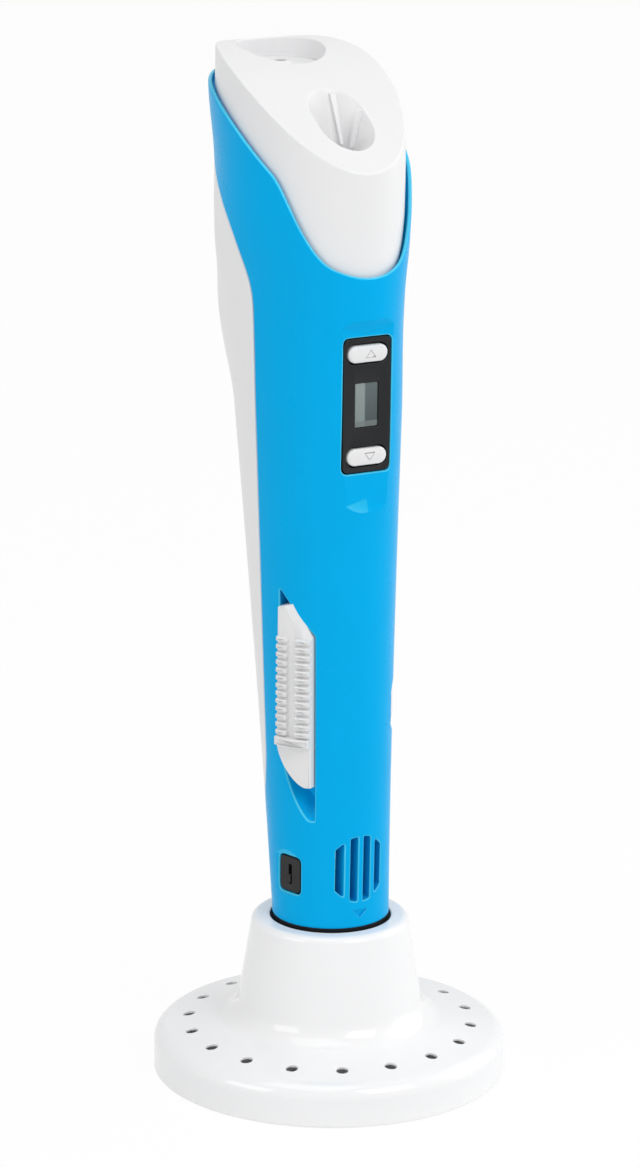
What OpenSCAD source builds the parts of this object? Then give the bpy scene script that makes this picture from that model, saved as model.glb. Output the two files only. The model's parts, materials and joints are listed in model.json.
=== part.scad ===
// Handheld filament pen standing nose-down in its round table stand.
// Millimetres, +Z up, origin at the centre of the stand's underside, display facing -Y.

/* [Part] */
// Sub-part to draw, or "all" for the whole pen in its stand

/* [Stand] */
// Outer radius of the stand's foot
stand_r = 32.5; // [28:0.5:40]
// Height of the top of the foot's rounded edge
stand_edge_z = 8; // [6:0.5:10]
// Radius of the foot's rounded edge
stand_edge_round = 3; // [1:0.5:4]
// Rise of the top plate from the rounded edge to the collar's foot
stand_plate_rise = 1.6; // [0.5:0.1:3]
// Radius of the hollow fillet between plate and collar
stand_fillet = 5; // [3:0.5:6]
// Wall thickness of the stand
stand_wall = 2.2; // [1.6:0.1:3]
// Slope of the top plate at the rounded edge, in degrees
stand_tilt = 10; // [6:1:14]
// Slope of the collar's side, in degrees
collar_tilt = 6; // [4:1:8]
// Draw-in of the hollow underside's corners
stand_corner = 1; // [0.5:0.1:1.5]
// Outer radius of the collar at its foot
collar_foot_r = 16.8; // [15.5:0.1:18]
// Outer radius of the collar near its rim
collar_top_r = 14.6; // [14:0.1:15.4]
// Height of the collar's rim
collar_z = 29.5; // [28:0.1:30.2]
// Radius of the collar's rounded rim
collar_round = 1.4; // [0.8:0.1:1.6]
// Radius of the socket that takes the pen's nose
socket_r = 11.1; // [10.9:0.05:12]
// Height of the seat the pen's nose rests on
seat_z = 20; // [18:0.5:22]
// Radius of the nozzle's opening in the seat
seat_hole_r = 7; // [5.5:0.1:7.6]
// Radius of one small holder hole
holder_r = 1.1; // [0.9:0.05:1.5]
// Radius of the circle of holder holes
holder_circle_r = 26.15; // [24:0.05:28]
// Number of holder holes
holder_count = 18; // [12:1:20]
// Turn of the first holder hole from +X
holder_phase = 5.3; // [0:0.1:20]

/* [Body shape] */
// Height of the body's lower end
body_z = 30.6; // [30.2:0.1:34]
// Radius of the body at its lower end
nose_r = 10.75; // [10.6:0.05:10.85]
// Half width of the body at the shoulder
shoulder_half = 15.4; // [15:0.1:17]
// Height at which the body reaches its full width
shoulder_z = 160; // [155:1:165]
// Power of the curve by which the body widens
width_power = 1.4; // [1.2:0.1:1.6]
// Extra half width gained near the shoulder
top_flare = 0.55; // [0:0.05:1]
// Height at which the extra half width starts
flare_z = 146; // [144:1:148]
// Height over which the extra half width is gained
flare_h = 9; // [7:0.5:11]
// Height of the body's upper end, before the rim and the cap are cut
body_top_z = 193; // [192:0.5:196]
// How far the front face swells forward up to the shoulder
front_swell = 2.2; // [1.8:0.1:3]
// Slope of the rear face below the hump
rear_slope = 0.156; // [0.15:0.001:0.16]
// Height at which the rear hump starts
hump_z = 124; // [120:1:128]
// Height over which the rear hump rises
hump_rise = 20; // [18:1:24]
// Distance of the rear face from the axis at the top of the hump
hump_rear = 31.7; // [31.2:0.1:32.2]
// Slope of the rear face above the hump
hump_slope = -0.03; // [-0.04:0.005:-0.01]
// How far the rear face flares out at the rim
rear_flare = 3.6; // [3:0.1:4]
// Height at which that flare starts
rear_flare_z = 166; // [165:1:168]
// Height over which it flares out
rear_flare_h = 16; // [15:1:18]
// Wall thickness of the shells
wall = 1.8; // [1.6:0.1:2]
// Sides of one cross-section of the shells
ring_sides = 48; // [32:4:56]

/* [Parting] */
// Distance of the parting line behind the axis
part_y = 4.9; // [4.5:0.1:5.5]
// Height at which the parting line starts to bend rearward
part_top_z = 143; // [140:0.5:146]
// Bend of the parting line at the top
part_top_bend = 0.0285; // [0.026:0.0005:0.032]
// Height below which the parting line bends rearward
part_low_z = 62; // [58:0.5:66]
// Bend of the parting line at the lower end
part_low_bend = 0.0223; // [0.018:0.0005:0.03]
// Seam between the front shell and the rear cover
seam = 0.2; // [0.1:0.05:0.3]

/* [Top cap] */
// Height of the front shell's rim on the axis
rim_z = 169.1; // [168.5:0.05:170]
// Slope of the rim on the axis
rim_slope = 0.745; // [0.72:0.005:0.77]
// Bend of the rim toward the rear
rim_bend = 0.0103; // [0.0096:0.0001:0.011]
// Drop of the rim at the front
rim_drop = 8.9; // [8:0.1:9.5]
// Distance in front of the axis at which the drop starts
rim_drop_start = 1; // [0.5:0.1:1.5]
// Length of the drop
rim_drop_len = 9.8; // [9:0.1:10.5]
// Thickness of the front shell's rim around the cap
rim_wall = 1; // [0.8:0.05:1.2]
// Gap between the rim and the cap
rim_gap = 0.1; // [0.05:0.05:0.15]
// Depth of the cap's skirt inside the rim
skirt = 3.4; // [2:0.1:4]
// Height of the cap's top face on the axis
cap_z = 178; // [177:0.1:179]
// Slope of the cap's top face on the axis
cap_slope = 0.672; // [0.64:0.002:0.7]
// Bend of the cap's top face
cap_bend = 0.00856; // [0.0075:0.0001:0.009]
// Tightening of that bend toward the rear
cap_bend_rear = 0.00012; // [0.0001:0.00001:0.00014]
// Thickness of the cap's top
cap_top = 2.2; // [1.8:0.1:2.6]
// Thickness of the cap's side wall
cap_wall = 1.7; // [1.4:0.1:2]
// Radius of the round pocket around the filament inlet
pocket_r = 8; // [7:0.1:8.6]
// Height of the pocket's floor
pocket_z = 184.2; // [183.5:0.1:185]
// Thickness of the pocket's floor and wall
pocket_wall = 1.4; // [1.2:0.1:1.6]
// Radius of the hole for the filament
inlet_r = 1.1; // [1:0.05:1.3]
// Outer radius of the inlet boss under the pocket
inlet_boss_r = 3.6; // [3.2:0.1:4.2]
// Length of the inlet boss under the pocket's floor
inlet_boss_len = 8.2; // [6:0.1:9]
// Radius of the rounded ends of the plug well
well_r = 5.2; // [5:0.1:5.6]
// Straight length of the plug well
well_len = 2.6; // [2:0.1:3]
// Distance of the plug well's centre in front of the axis
well_front = 1; // [0.5:0.1:1.5]
// Height of the plug well's lower end
well_z = 166; // [165:0.1:167]
// Wall thickness of the plug well
well_wall = 1.4; // [1.2:0.1:1.6]

/* [Display] */
// Height of the display's centre
disp_z = 127.6; // [126:0.1:129]
// Distance of the flat around the display in front of the axis
disp_flat = 11.2; // [11:0.05:11.4]
// Length of the flat above the display's centre
disp_flat_up = 13; // [12.6:0.1:13.4]
// Length of the flat below the display's centre
disp_flat_down = 17; // [16:0.1:18]
// Length of the slanted facet above the flat
disp_facet_up = 2.3; // [1.8:0.1:3]
// Length of the slanted facet below the flat
disp_facet_down = 2.3; // [1.8:0.1:3]
// Depth of the block behind the flat
disp_block = 2.6; // [2.4:0.1:2.8]
// Height of the block behind the flat
disp_block_h = 30.8; // [30:0.1:31.4]
// Half width of the block at its back
disp_block_half = 6.4; // [6.2:0.1:6.6]
// Half width of the block at its face
disp_block_face = 4.4; // [4.2:0.1:4.6]
// Depth of the block's face below the flat
disp_block_sink = 0.3; // [0.2:0.05:0.4]
// Thickness of the block's sides
disp_block_side = 0.6; // [0.4:0.05:0.8]
// Width of the black bezel
bezel_w = 9.6; // [9.4:0.1:9.8]
// Height of the black bezel
bezel_h = 24.3; // [23.8:0.1:24.6]
// Thickness of the black bezel
bezel_t = 1.45; // [1.3:0.05:1.6]
// Corner radius of the black bezel
bezel_round = 1.2; // [0.8:0.1:1.6]
// Depth of the bezel's face below the flat
bezel_sink = 0.15; // [0.1:0.05:0.2]
// Gap around the bezel in its opening
bezel_gap = 0.1; // [0.05:0.05:0.15]
// Height of the ledge the bezel rests on at each end
bezel_ledge = 1.2; // [1:0.1:1.3]
// Width of the window
window_w = 4.75; // [4.4:0.05:5]
// Height of the window
window_h = 8.1; // [7.6:0.1:8.6]
// Overlap of the clear lens behind the window's edge
lens_lap = 0.8; // [0.6:0.1:1]
// Thickness of the clear lens
lens_t = 0.6; // [0.5:0.05:0.7]
// Width of the liquid-crystal module
lcd_w = 9; // [8.6:0.1:9.2]
// Height of the liquid-crystal module
lcd_h = 11.6; // [11:0.1:12]
// Distance of the speed buttons from the display's centre
speed_z = 9.3; // [9.1:0.05:9.5]
// Width of one speed button
speed_w = 7.9; // [7.6:0.1:8]
// Height of one speed button
speed_h = 3.1; // [2.8:0.1:3.2]
// How far a speed button stands out of the bezel
speed_proud = 0.6; // [0.4:0.05:0.8]
// Gap around a moving button
button_gap = 0.3; // [0.3:0.05:0.4]
// Thickness of a speed button's flange
speed_flange_t = 0.6; // [0.5:0.05:0.7]
// Height of a speed button's flange
speed_flange_h = 3; // [2.6:0.1:3]
// Distance of a speed button's flange from the bezel's side
speed_flange_in = 0.2; // [0.1:0.05:0.3]

/* [Switches and board] */
// Travel of every button
travel = 0.6; // [0.4:0.05:0.7]
// Height of a switch's plunger above its body
plunger_out = 1; // [0.9:0.05:1.2]
// Radius of a switch's plunger
plunger_r = 0.9; // [0.8:0.05:1]
// Depth of a plunger inside its switch
plunger_in = 0.7; // [0.6:0.05:0.8]
// Running clearance of a plunger in its switch
plunger_fit = 0.07; // [0.05:0.01:0.09]
// Room left under a plunger at the end of its travel
plunger_room = 0.1; // [0.05:0.05:0.15]
// Thickness of a speed switch's body
speed_sw_t = 2.2; // [2:0.1:2.4]
// Side of a speed switch's body
speed_sw = 4.4; // [4:0.1:4.6]
// Thickness of the control board
board_t = 1.2; // [1:0.1:1.6]
// Width of the control board
board_w = 14; // [13:0.1:14.4]
// Height of the control board's lower end
board_z = 98; // [96:0.5:100]
// Height of the control board's upper end
board_top_z = 143; // [142.6:0.1:143.4]
// Distance of the board's screws from its centre line
board_screw_x = 5.2; // [5:0.1:5.4]
// Distance of the board's screws from its ends
board_screw_edge = 2.2; // [2:0.1:2.6]
// Radius of a board screw's shank
board_screw_r = 0.7; // [0.6:0.05:0.8]
// Radius of a board screw's head
board_head_r = 1.4; // [1.2:0.1:1.6]
// Height of a board screw's head
board_head_h = 1; // [0.8:0.1:1.2]
// Length of a board screw's thread in its post
board_screw_len = 2.4; // [2:0.1:2.8]
// Radius of a post for a board screw
post_r = 1.7; // [1.5:0.1:1.9]
// How far a post reaches into the block behind the display
post_root = 0.4; // [0.3:0.05:0.5]
// Clearance of a screw in its hole
screw_gap = 0.05; // [0.03:0.01:0.08]
// Room left under the end of a screw
screw_room = 0.5; // [0.4:0.1:0.6]

/* [Feed buttons] */
// Turn of the load and unload buttons from the front
feed_angle = 65; // [62:1:68]
// Distance of the carrier's switch faces from the axis
carrier_d = 4; // [3.8:0.1:4.2]
// Thickness of the carrier's walls
carrier_t = 1.3; // [1.1:0.1:1.4]
// Height of the carrier's lower end
carrier_z = 60; // [59:0.5:61]
// Height of the carrier
carrier_h = 24; // [22:0.5:26]
// Distance of the carrier's front face from the axis
carrier_front = 7.5; // [7.3:0.1:7.8]
// Reach of the carrier's walls behind the switches' centres
carrier_reach = 3.4; // [3.2:0.1:3.6]
// Width of the rib that holds the carrier
carrier_rib_w = 1.8; // [1.4:0.1:2.2]
// How far the rib that holds the carrier reaches into the wall
carrier_rib_root = 1; // [0.8:0.1:1.2]
// Distance of the rib's ends from the carrier's ends
carrier_rib_end = 2; // [1:0.5:4]
// Side of a feed switch's body
feed_sw = 6; // [5.6:0.1:6.2]
// Thickness of a feed switch's body
feed_sw_t = 2; // [1.8:0.1:2.2]
// Half width of the load button's recess
load_half = 3.45; // [3.3:0.05:3.6]
// Height of the recess's pointed upper corner
load_top_z = 93.2; // [92:0.1:94]
// Height at which the recess's slanted upper edge ends
load_slant_z = 85.3; // [84:0.1:86]
// Height of the recess's pointed lower end
load_low_z = 50.4; // [50:0.1:52]
// Height at which the recess's curved lower edge starts
load_curve_z = 64; // [63:0.1:65]
// Distance of the recess's floor from the axis
load_floor = 9.2; // [9:0.05:9.4]
// Thickness of the plate under the recess
load_plate = 1.2; // [1:0.1:1.3]
// Margin of the plate around the recess
load_margin = 1.3; // [1:0.1:1.5]
// Width of the recess's blunt lower end
load_tip = 1; // [0.5:0.1:1.4]
// Straightness of the curved lower edge, 1 for a quarter oval
load_bow = 1.5; // [1:0.1:1.8]
// Height of the load button's left upper corner
load_left_z = 90; // [89:0.1:90.4]
// Height of the load button's upper knee
load_knee_z = 90.9; // [90.5:0.1:91.2]
// Distance of the load button's upper knee from its left side
load_knee = 2.9; // [2.6:0.1:3.2]
// Height of the load button's right upper corner
load_right_z = 85; // [84:0.1:85]
// Height of the load button's lower end
load_end_z = 56.8; // [56:0.1:58]
// Distance of the load button's face from the axis
load_face = 12.1; // [11.9:0.05:12.3]
// Rounding radius of the load button's face
load_crown = 9; // [7:0.5:12]
// Height of the load button's ridge
load_ridge_z = 65.2; // [64.8:0.1:66]
// Height of the load button's ridge, end to end
ridge_h = 1.6; // [1.2:0.1:1.8]
// Distance of the ridge's and ribs' ends from the load button's sides
rib_inset = 0.2; // [0.1:0.05:0.3]
// Distance of the lowest rib above the ridge
rib_first = 1.6; // [1.5:0.1:1.8]
// Depth of the ribs' roots in the load button
rib_root = 0.5; // [0.3:0.1:0.6]
// Number of ribs on the load button
rib_count = 13; // [10:1:14]
// Distance between ribs
rib_pitch = 1.45; // [1.4:0.05:1.5]
// Width of one rib
rib_w = 0.8; // [0.6:0.05:0.9]
// How far a rib stands out
rib_out = 0.45; // [0.3:0.05:0.5]
// Half width of the smooth spine between the ribs
spine_half = 0.9; // [0.6:0.1:1.2]
// Height of the load switch's centre
load_switch_z = 77; // [74:0.5:79]
// Width of the flange of a feed button beyond its face
flange_out = 0.8; // [0.6:0.05:0.9]
// Reach of the load button's flange beyond its ribbed length
load_flange_over = 2; // [1.5:0.1:2]
// Thickness of the load button's flange
load_flange_t = 0.7; // [0.6:0.05:0.8]
// Height of the unload button's centre
unload_z = 70; // [69:0.1:71]
// Width of the unload button
unload_w = 3.4; // [3:0.1:3.6]
// Height of the unload button
unload_h = 7; // [6:0.1:7.4]
// Margin of the scoop around the unload button
unload_margin = 1.2; // [0.8:0.1:1.4]
// Distance of the scoop's floor from the axis
unload_floor = 10.3; // [10.2:0.05:10.4]
// Distance of the unload button's face from the axis
unload_face = 10.95; // [10.8:0.05:11.1]
// Thickness of the unload button's flange
unload_flange_t = 1.4; // [1.2:0.05:1.5]

/* [Material switch] */
// Turn of the material switch from the front
mat_angle = 76; // [74:1:78]
// Height of the material switch's centre
mat_z = 39.3; // [39:0.1:40]
// Width of the material switch
mat_w = 5.2; // [4.8:0.1:5.4]
// Height of the material switch
mat_h = 6.6; // [5.8:0.1:6.8]
// Distance of the flat around the switch from the axis
mat_flat = 10.35; // [10.2:0.05:10.4]
// Length of the scoop above the switch's flat for each millimetre of its depth
mat_scoop_up = 1.9; // [1.6:0.1:2.4]
// Length of the scoop below the switch's flat for each millimetre of its depth
mat_scoop_down = 0.85; // [0.7:0.05:1]
// Width of the scoop
mat_scoop_w = 12; // [11:0.5:14]
// Distance of the switch's face from the axis
mat_face = 10.1; // [10:0.05:10.2]
// Depth of the switch's body
mat_depth = 2.9; // [2.6:0.1:3]
// Width of the knob's slot
slot_w = 1.5; // [1.3:0.1:1.7]
// Height of the knob's slot
slot_h = 3.8; // [3.4:0.1:4]
// Depth of the knob's slot
slot_d = 1.5; // [1.3:0.1:1.7]
// Height of the knob
knob_h = 1.6; // [1.4:0.1:1.6]
// How far the knob stands out of the switch's face
knob_out = 0.2; // [0.1:0.05:0.3]

/* [Vents] */
// Distance between the vent slots
vent_pitch = 2.6; // [2.4:0.05:2.8]
// Width of one vent slot
vent_w = 1.5; // [1.3:0.05:1.6]
// Height of the vents' centre
vent_z = 41.2; // [40.5:0.1:42]
// Height of the inner vent slots
vent_h = 12; // [11:0.1:13]
// How much shorter the outer vent slots are
vent_short = 2.1; // [1:0.1:3]
// Depth of the vent slots behind the body's lower end
vent_d = 3.6; // [3:0.1:4]
// Height of the small arrow mark under the vents
mark_z = 32.6; // [32.4:0.1:33]
// Size of the small arrow mark
mark_size = 1.5; // [1:0.1:1.8]
// Depth of the small arrow mark
mark_depth = 0.25; // [0.15:0.05:0.3]

/* [Power jack] */
// Width of the jack's body
jack_w = 9; // [8.4:0.1:9.4]
// Depth of the jack's body
jack_d = 10; // [9:0.1:11]
// Height of the jack's body
jack_h = 9.3; // [9:0.05:9.5]
// Radius of the jack's plug bore
jack_bore_r = 2.9; // [2.75:0.05:3.1]
// Thickness of the floor under the plug bore
jack_floor = 1.2; // [1:0.1:1.4]
// Radius of the jack's centre pin
jack_pin_r = 1; // [0.9:0.05:1.1]
// Length of the jack's centre pin above the bore's floor
jack_pin_len = 7; // [6:0.1:7.6]

/* [Feeder] */
// Distance of the filament's inlet behind the axis
feed_y = 21; // [20.6:0.1:21.4]
// Height of the drive wheel's axis
feed_z = 149; // [148.5:0.1:149.2]
// Half of the gap between wheel and roller
nip_half = 0.9; // [0.8:0.05:1]
// Radius of the drive wheel
wheel_r = 3.2; // [3:0.05:3.4]
// Width of the drive wheel
wheel_w = 5; // [4.4:0.1:5.2]
// Number of teeth of the drive wheel
wheel_teeth = 22; // [18:1:26]
// Depth of the drive wheel's teeth
tooth_d = 0.3; // [0.2:0.05:0.4]
// Radius of the motor's output shaft
shaft_r = 1.5; // [1.3:0.05:1.6]
// How far the shaft stands out of the drive wheel
shaft_over = 0.5; // [0.3:0.1:0.8]
// Thickness of the gearbox's back behind the shaft
gear_back = 2; // [1.5:0.1:2.5]
// End play of the shaft in the gearbox
shaft_play = 0.3; // [0.2:0.05:0.4]
// Running clearance of a turning piece on its pin or shaft
turn_fit = 0.05; // [0.03:0.01:0.08]
// Radius of the idler roller
roller_r = 3.6; // [3.4:0.05:3.8]
// Width of the idler roller
roller_w = 3.4; // [3:0.1:3.6]
// Radius of the idler's axle
axle_r = 1; // [0.9:0.05:1.2]
// Thickness of the axle's head
axle_head = 0.7; // [0.6:0.05:0.9]
// Radius of the axle's shoulder
axle_shoulder_r = 1.9; // [1.7:0.05:2]
// Side gap of the idler roller
roller_gap = 0.3; // [0.2:0.05:0.4]
// Distance of the frame plate's front face behind the axis
frame_y = 13.5; // [13.3:0.1:13.7]
// Thickness of the frame plate
frame_t = 2.5; // [2.3:0.1:2.6]
// Width of the frame plate
frame_w = 21.6; // [21.4:0.1:22]
// Height of the frame plate's lower edge
frame_z = 137; // [136.6:0.1:137.4]
// Height of the frame plate
frame_h = 23.5; // [23.3:0.1:23.8]
// Height of the lower tube holder
holder_low_h = 4.5; // [4:0.1:4.6]
// Height of the upper tube holder
holder_top_h = 4; // [3.6:0.1:4.4]
// Half width of a tube holder
tube_holder_half = 3.3; // [3:0.1:3.4]
// Reach of a tube holder behind the filament
tube_holder_back = 2.6; // [2.4:0.1:2.8]
// Distance of the frame's screws from the centre line
frame_screw_x = 8.6; // [8.4:0.1:8.7]
// Distance of the frame's screws from the plate's edges
frame_screw_edge = 2.5; // [2.4:0.1:2.7]
// Radius of a frame screw's shank
frame_screw_r = 0.9; // [0.8:0.05:1]
// Radius of a frame screw's head
frame_head_r = 1.7; // [1.5:0.1:1.9]
// Height of a frame screw's head
frame_head_h = 1.2; // [1:0.1:1.4]
// Length of a frame screw's thread in its boss
frame_screw_len = 3; // [2.5:0.1:3.2]
// Radius of a boss for a frame screw
boss_r = 2.1; // [2:0.05:2.2]
// Reach of the upper bosses behind the plate
boss_top_len = 8.4; // [8:0.1:8.6]
// Reach of the lower bosses behind the plate
boss_low_len = 6.6; // [6.2:0.1:6.8]
// Length of the gearbox
gearbox_len = 7; // [6.6:0.1:7.2]
// Width of the gearbox and motor
motor_w = 10; // [9.6:0.1:10.2]
// Height of the gearbox and motor
motor_h = 12; // [11.6:0.1:12.2]
// Length of the motor's can
motor_len = 11.4; // [11:0.1:11.6]
// Radius of the gearbox's front boss
gear_boss_r = 2.4; // [2.2:0.1:2.8]

/* [Filament path] */
// Outer radius of the filament tubes
tube_r = 2; // [1.8:0.05:2]
// Inner radius of the filament tubes
tube_bore = 1.05; // [1:0.05:1.2]
// Clearance of a tube in its holder
tube_gap = 0.05; // [0.03:0.01:0.08]
// Bend radius of the feed tube
tube_bend_r = 60; // [55:1:62]
// Tilt of the feed tube between its bends
tube_tilt = 20; // [19.5:0.1:20.5]
// Straight length of the feed tube in its holder
tube_straight = 6; // [5.6:0.1:6.2]

/* [Hot end] */
// Outer radius of the nose ring below the body
ring_r = 10.45; // [10.2:0.05:10.5]
// Height at which the nose ring starts to taper
ring_taper_z = 27; // [25:0.5:28]
// Radius of the nose ring's lower face
ring_low_r = 8.4; // [8.2:0.1:8.8]
// Radius of the nose ring's spigot inside the body
spigot_r = 8.7; // [8.5:0.05:8.8]
// Height of the nose ring's spigot
spigot_h = 2.6; // [2:0.1:3]
// Outer radius of the insulator
insul_r = 5; // [4.8:0.05:5.2]
// Inner radius of the insulator
insul_bore = 3.65; // [3.6:0.05:3.8]
// Height of the insulator's lower end
insul_z = 19; // [18.5:0.1:19.5]
// Height of the insulator's upper end
insul_top_z = 40; // [39.5:0.1:40.5]
// Outer radius of the hot barrel
barrel_r = 2.2; // [2.1:0.05:2.3]
// Height of the hot barrel's lower end
barrel_z = 12; // [11.5:0.1:12.5]
// Outer radius of the heater sleeve
heater_r = 3.4; // [3.2:0.05:3.45]
// Height of the heater sleeve's upper end
heater_top_z = 37; // [35:0.5:38]
// Clearance between the hot end's sleeves
sleeve_gap = 0.05; // [0.03:0.01:0.08]
// Radius of the heat sink's fins
fin_r = 6.2; // [6:0.1:6.4]
// Radius of the heat sink's core
sink_core_r = 3.6; // [3.4:0.1:4]
// Number of the heat sink's fins
fin_count = 5; // [4:1:6]
// Height of the heat sink
sink_h = 14; // [12:0.5:15]
// Radius of the nozzle's body
nozzle_r = 3; // [2.8:0.05:3.2]
// Height of the nozzle's tip
nozzle_z = 3.6; // [2:0.1:4]
// Height at which the nozzle's cone ends
nozzle_cone_z = 8; // [7:0.5:9]
// Height of the nozzle's upper face
nozzle_top_z = 17; // [16:0.1:17]
// Radius of the nozzle's tip
nozzle_tip_r = 0.9; // [0.7:0.05:1.1]
// Length of the hole in the nozzle's tip
nozzle_hole_len = 2; // [1.5:0.1:2.5]
// Radius of the hole in the nozzle's tip
nozzle_hole_r = 0.35; // [0.3:0.05:0.4]

/* [Shell screws] */
// Distance of the shell screws from the centre line
shell_screw_x = 4.5; // [4.4:0.05:4.7]
// Height of the shell screws
shell_screw_z = 95.5; // [95:0.1:95.7]
// Radius of a shell screw's shank
shell_screw_r = 0.9; // [0.8:0.05:1]
// Radius of a shell screw's head
shell_head_r = 1.7; // [1.5:0.05:1.75]
// Height of a shell screw's head
shell_head_h = 1.4; // [1.2:0.1:1.5]
// Distance of the screw head's seat behind the parting line
shell_seat = 12.4; // [12:0.1:12.6]
// Reach of a shell screw's boss behind the seat
shell_boss_over = 0.8; // [0.6:0.1:0.9]
// Length of a shell screw's thread in the front shell
shell_screw_len = 4; // [3.5:0.1:4.5]
// Radius of a shell screw's boss
shell_boss_r = 2; // [1.9:0.05:2.1]
// Reach of the front shell's screw boss in front of the parting line
shell_boss_len = 15; // [14.8:0.1:15.4]

/* [Hidden] */
big = 60;
eps = 0.01;
over = 1;
fine = 64;
ring_step = 360 / ring_sides;
edge_steps = 8;
low_rings = 12;
hump_rings = 10;
top_rings = 8;
hump_top_z = hump_z + hump_rise;
ring_z = concat([for (i = [0:low_rings - 1]) body_z + i * (hump_z - body_z) / low_rings],
                [for (i = [0:hump_rings - 1]) hump_z + i * hump_rise / hump_rings],
                [for (i = [0:top_rings]) hump_top_z + i * (body_top_z - hump_top_z) / top_rings]);
cap_inset = rim_wall + rim_gap;
bezel_face = disp_flat - bezel_sink;
bezel_back = bezel_face - bezel_t;
lens_back = bezel_back - lens_t;
flange_front = bezel_back - button_gap;
flange_back = flange_front - speed_flange_t;
speed_sw_face = flange_back - plunger_out;
board_face = speed_sw_face - speed_sw_t;
board_back = board_face - board_t;
feed_sw_face = carrier_d + feed_sw_t;
feed_flange_d = feed_sw_face + plunger_out;
sin_f = sin(feed_angle);
cos_f = cos(feed_angle);
wheel_x = nip_half + wheel_r;
roller_x = nip_half + roller_r;
frame_back = frame_y + frame_t;
shaft_end = feed_y + wheel_w / 2 + shaft_over;
tube_low_z = frame_z + holder_low_h - tube_straight;
bend_y = tube_bend_r * (1 - cos(tube_tilt));
bend_z = tube_bend_r * sin(tube_tilt);
slant_len = (feed_y - 2 * bend_y) / sin(tube_tilt);
barrel_top_z = tube_low_z - 2 * bend_z - slant_len * cos(tube_tilt);
bend_steps = 5;
tube_sides = 16;
inlet_seat_z = pocket_z - pocket_wall;
jack_top_z = well_z;
jack_z = jack_top_z - jack_h;

function smooth(t) = let (u = min(max(t, 0), 1)) u * u * (3 - 2 * u);
function rise(z) = (z - body_z) / (shoulder_z - body_z);
function half_w(z) = nose_r + (shoulder_half - nose_r) * pow(min(max(rise(z), 0), 1), width_power)
    + top_flare * smooth((z - flare_z) / flare_h);
function front_d(z) = nose_r + front_swell * rise(z);
function rear_low(z) = nose_r + rear_slope * (z - body_z);
function rear_top(z) = hump_rear + hump_slope * (z - hump_top_z);
function rear_d(z) = rear_low(z) + (rear_top(z) - rear_low(z)) * smooth((z - hump_z) / hump_rise)
    + rear_flare * smooth((z - rear_flare_z) / rear_flare_h);
function ring(z, inset) =
    let (a = half_w(z) - inset, mid = (rear_d(z) - front_d(z)) / 2, b = (rear_d(z) + front_d(z)) / 2 - inset)
    [for (i = [0:ring_sides - 1]) [a * sin(i * ring_step), mid - b * cos(i * ring_step), z]];
function part_line(z) = part_y + part_top_bend * pow(max(z - part_top_z, 0), 2)
    + part_low_bend * pow(max(part_low_z - z, 0), 2);
function rim_line(y) = rim_z + rim_slope * y - rim_bend * pow(max(y, 0), 2)
    - rim_drop * smooth((-rim_drop_start - y) / rim_drop_len);
function cap_line(y) = cap_z + cap_slope * y - cap_bend * y * y - cap_bend_rear * y * y * y;
cut_y = -front_d(body_top_z) - over;
cut_span = rear_d(body_top_z) + over - cut_y;
cut_top_z = body_top_z + over;
function arc(cx, cy, r, from, to, n) =
    [for (i = [0:n]) [cx + r * cos(from + (to - from) * i / n), cy + r * sin(from + (to - from) * i / n)]];

// Solid of the body's smooth outside, drawn in by inset, over the rings from first to last
module body_solid(inset, first, last) {
    n = ring_sides;
    count = last - first + 1;
    rings = [for (k = [first:last]) ring(ring_z[k], inset)];
    points = [for (r = rings) for (p = r) p];
    sides = [for (k = [0:count - 2]) for (i = [0:n - 1]) let (j = (i + 1) % n, lo = k * n, hi = lo + n)
        each [[lo + i, hi + j, lo + j], [lo + i, hi + i, hi + j]]];
    floor_face = [for (i = [0:n - 1]) i];
    roof_face = [for (i = [n - 1:-1:0]) (count - 1) * n + i];
    polyhedron(points, concat(sides, [floor_face, roof_face]));
}

// Room inside the shells, open at both ends
module body_room(inset, first, last) {
    body_solid(inset, first, last);
    if (first == 0)
        translate([0, 0, body_z - over])
            linear_extrude(over + eps)
                polygon([for (p = ring(body_z, inset)) [p[0], p[1]]]);
}

// Draws a profile of y and z across the whole width
module across(half = big) {
    rotate([90, 0, 90])
        translate([0, 0, -half])
            linear_extrude(2 * half)
                children();
}

// Turns the drawing plane to face outward at an angle from the front, with z kept
module facing(angle) {
    rotate([0, 0, angle])
        rotate([90, 0, 0])
            children();
}

// Slab between two distances from the axis, facing outward at an angle from the front
module slab(angle, near, far) {
    facing(angle)
        translate([0, 0, near])
            linear_extrude(far - near)
                children();
}

module stadium(w, h) {
    r = min(w, h) / 2;
    square([w - 2 * r + eps, h > w ? h - 2 * r : h], center = true);
    square([h > w ? w : w - 2 * r, h - 2 * r + eps], center = true);
    for (s = [-1, 1])
        translate(w > h ? [s * (w / 2 - r), 0] : [0, s * (h / 2 - r)])
            circle(r, $fn = fine);
}

module rounded(w, h, r) {
    square([w - 2 * r, h], center = true);
    square([w, h - 2 * r], center = true);
    for (sx = [-1, 1])
        for (sy = [-1, 1])
            translate([sx * (w / 2 - r), sy * (h / 2 - r)])
                circle(r, $fn = fine);
}

// Pin or hole along the front-to-rear direction
module along_y(x, z, from, to, r) {
    translate([x, from, z])
        rotate([-90, 0, 0])
            cylinder(r = r, h = to - from, $fn = fine);
}

// Everything behind the parting line
module behind_parting(shift) {
    steps = 44;
    low = body_z - over;
    span = body_top_z + over - low;
    across()
        polygon(concat([for (i = [0:steps]) let (z = low + span * i / steps) [part_line(z) + shift, z]],
                       [[big * 2, low + span], [big * 2, low]]));
}

// Everything above the front shell's rim, or everything below it when closed at a lower height
module beyond_rim(shift, close_z) {
    steps = 40;
    across()
        polygon(concat([for (i = [0:steps]) let (y = cut_y + cut_span * i / steps) [y, rim_line(y) + shift]],
                       [[cut_y + cut_span, close_z], [cut_y, close_z]]));
}

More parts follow.
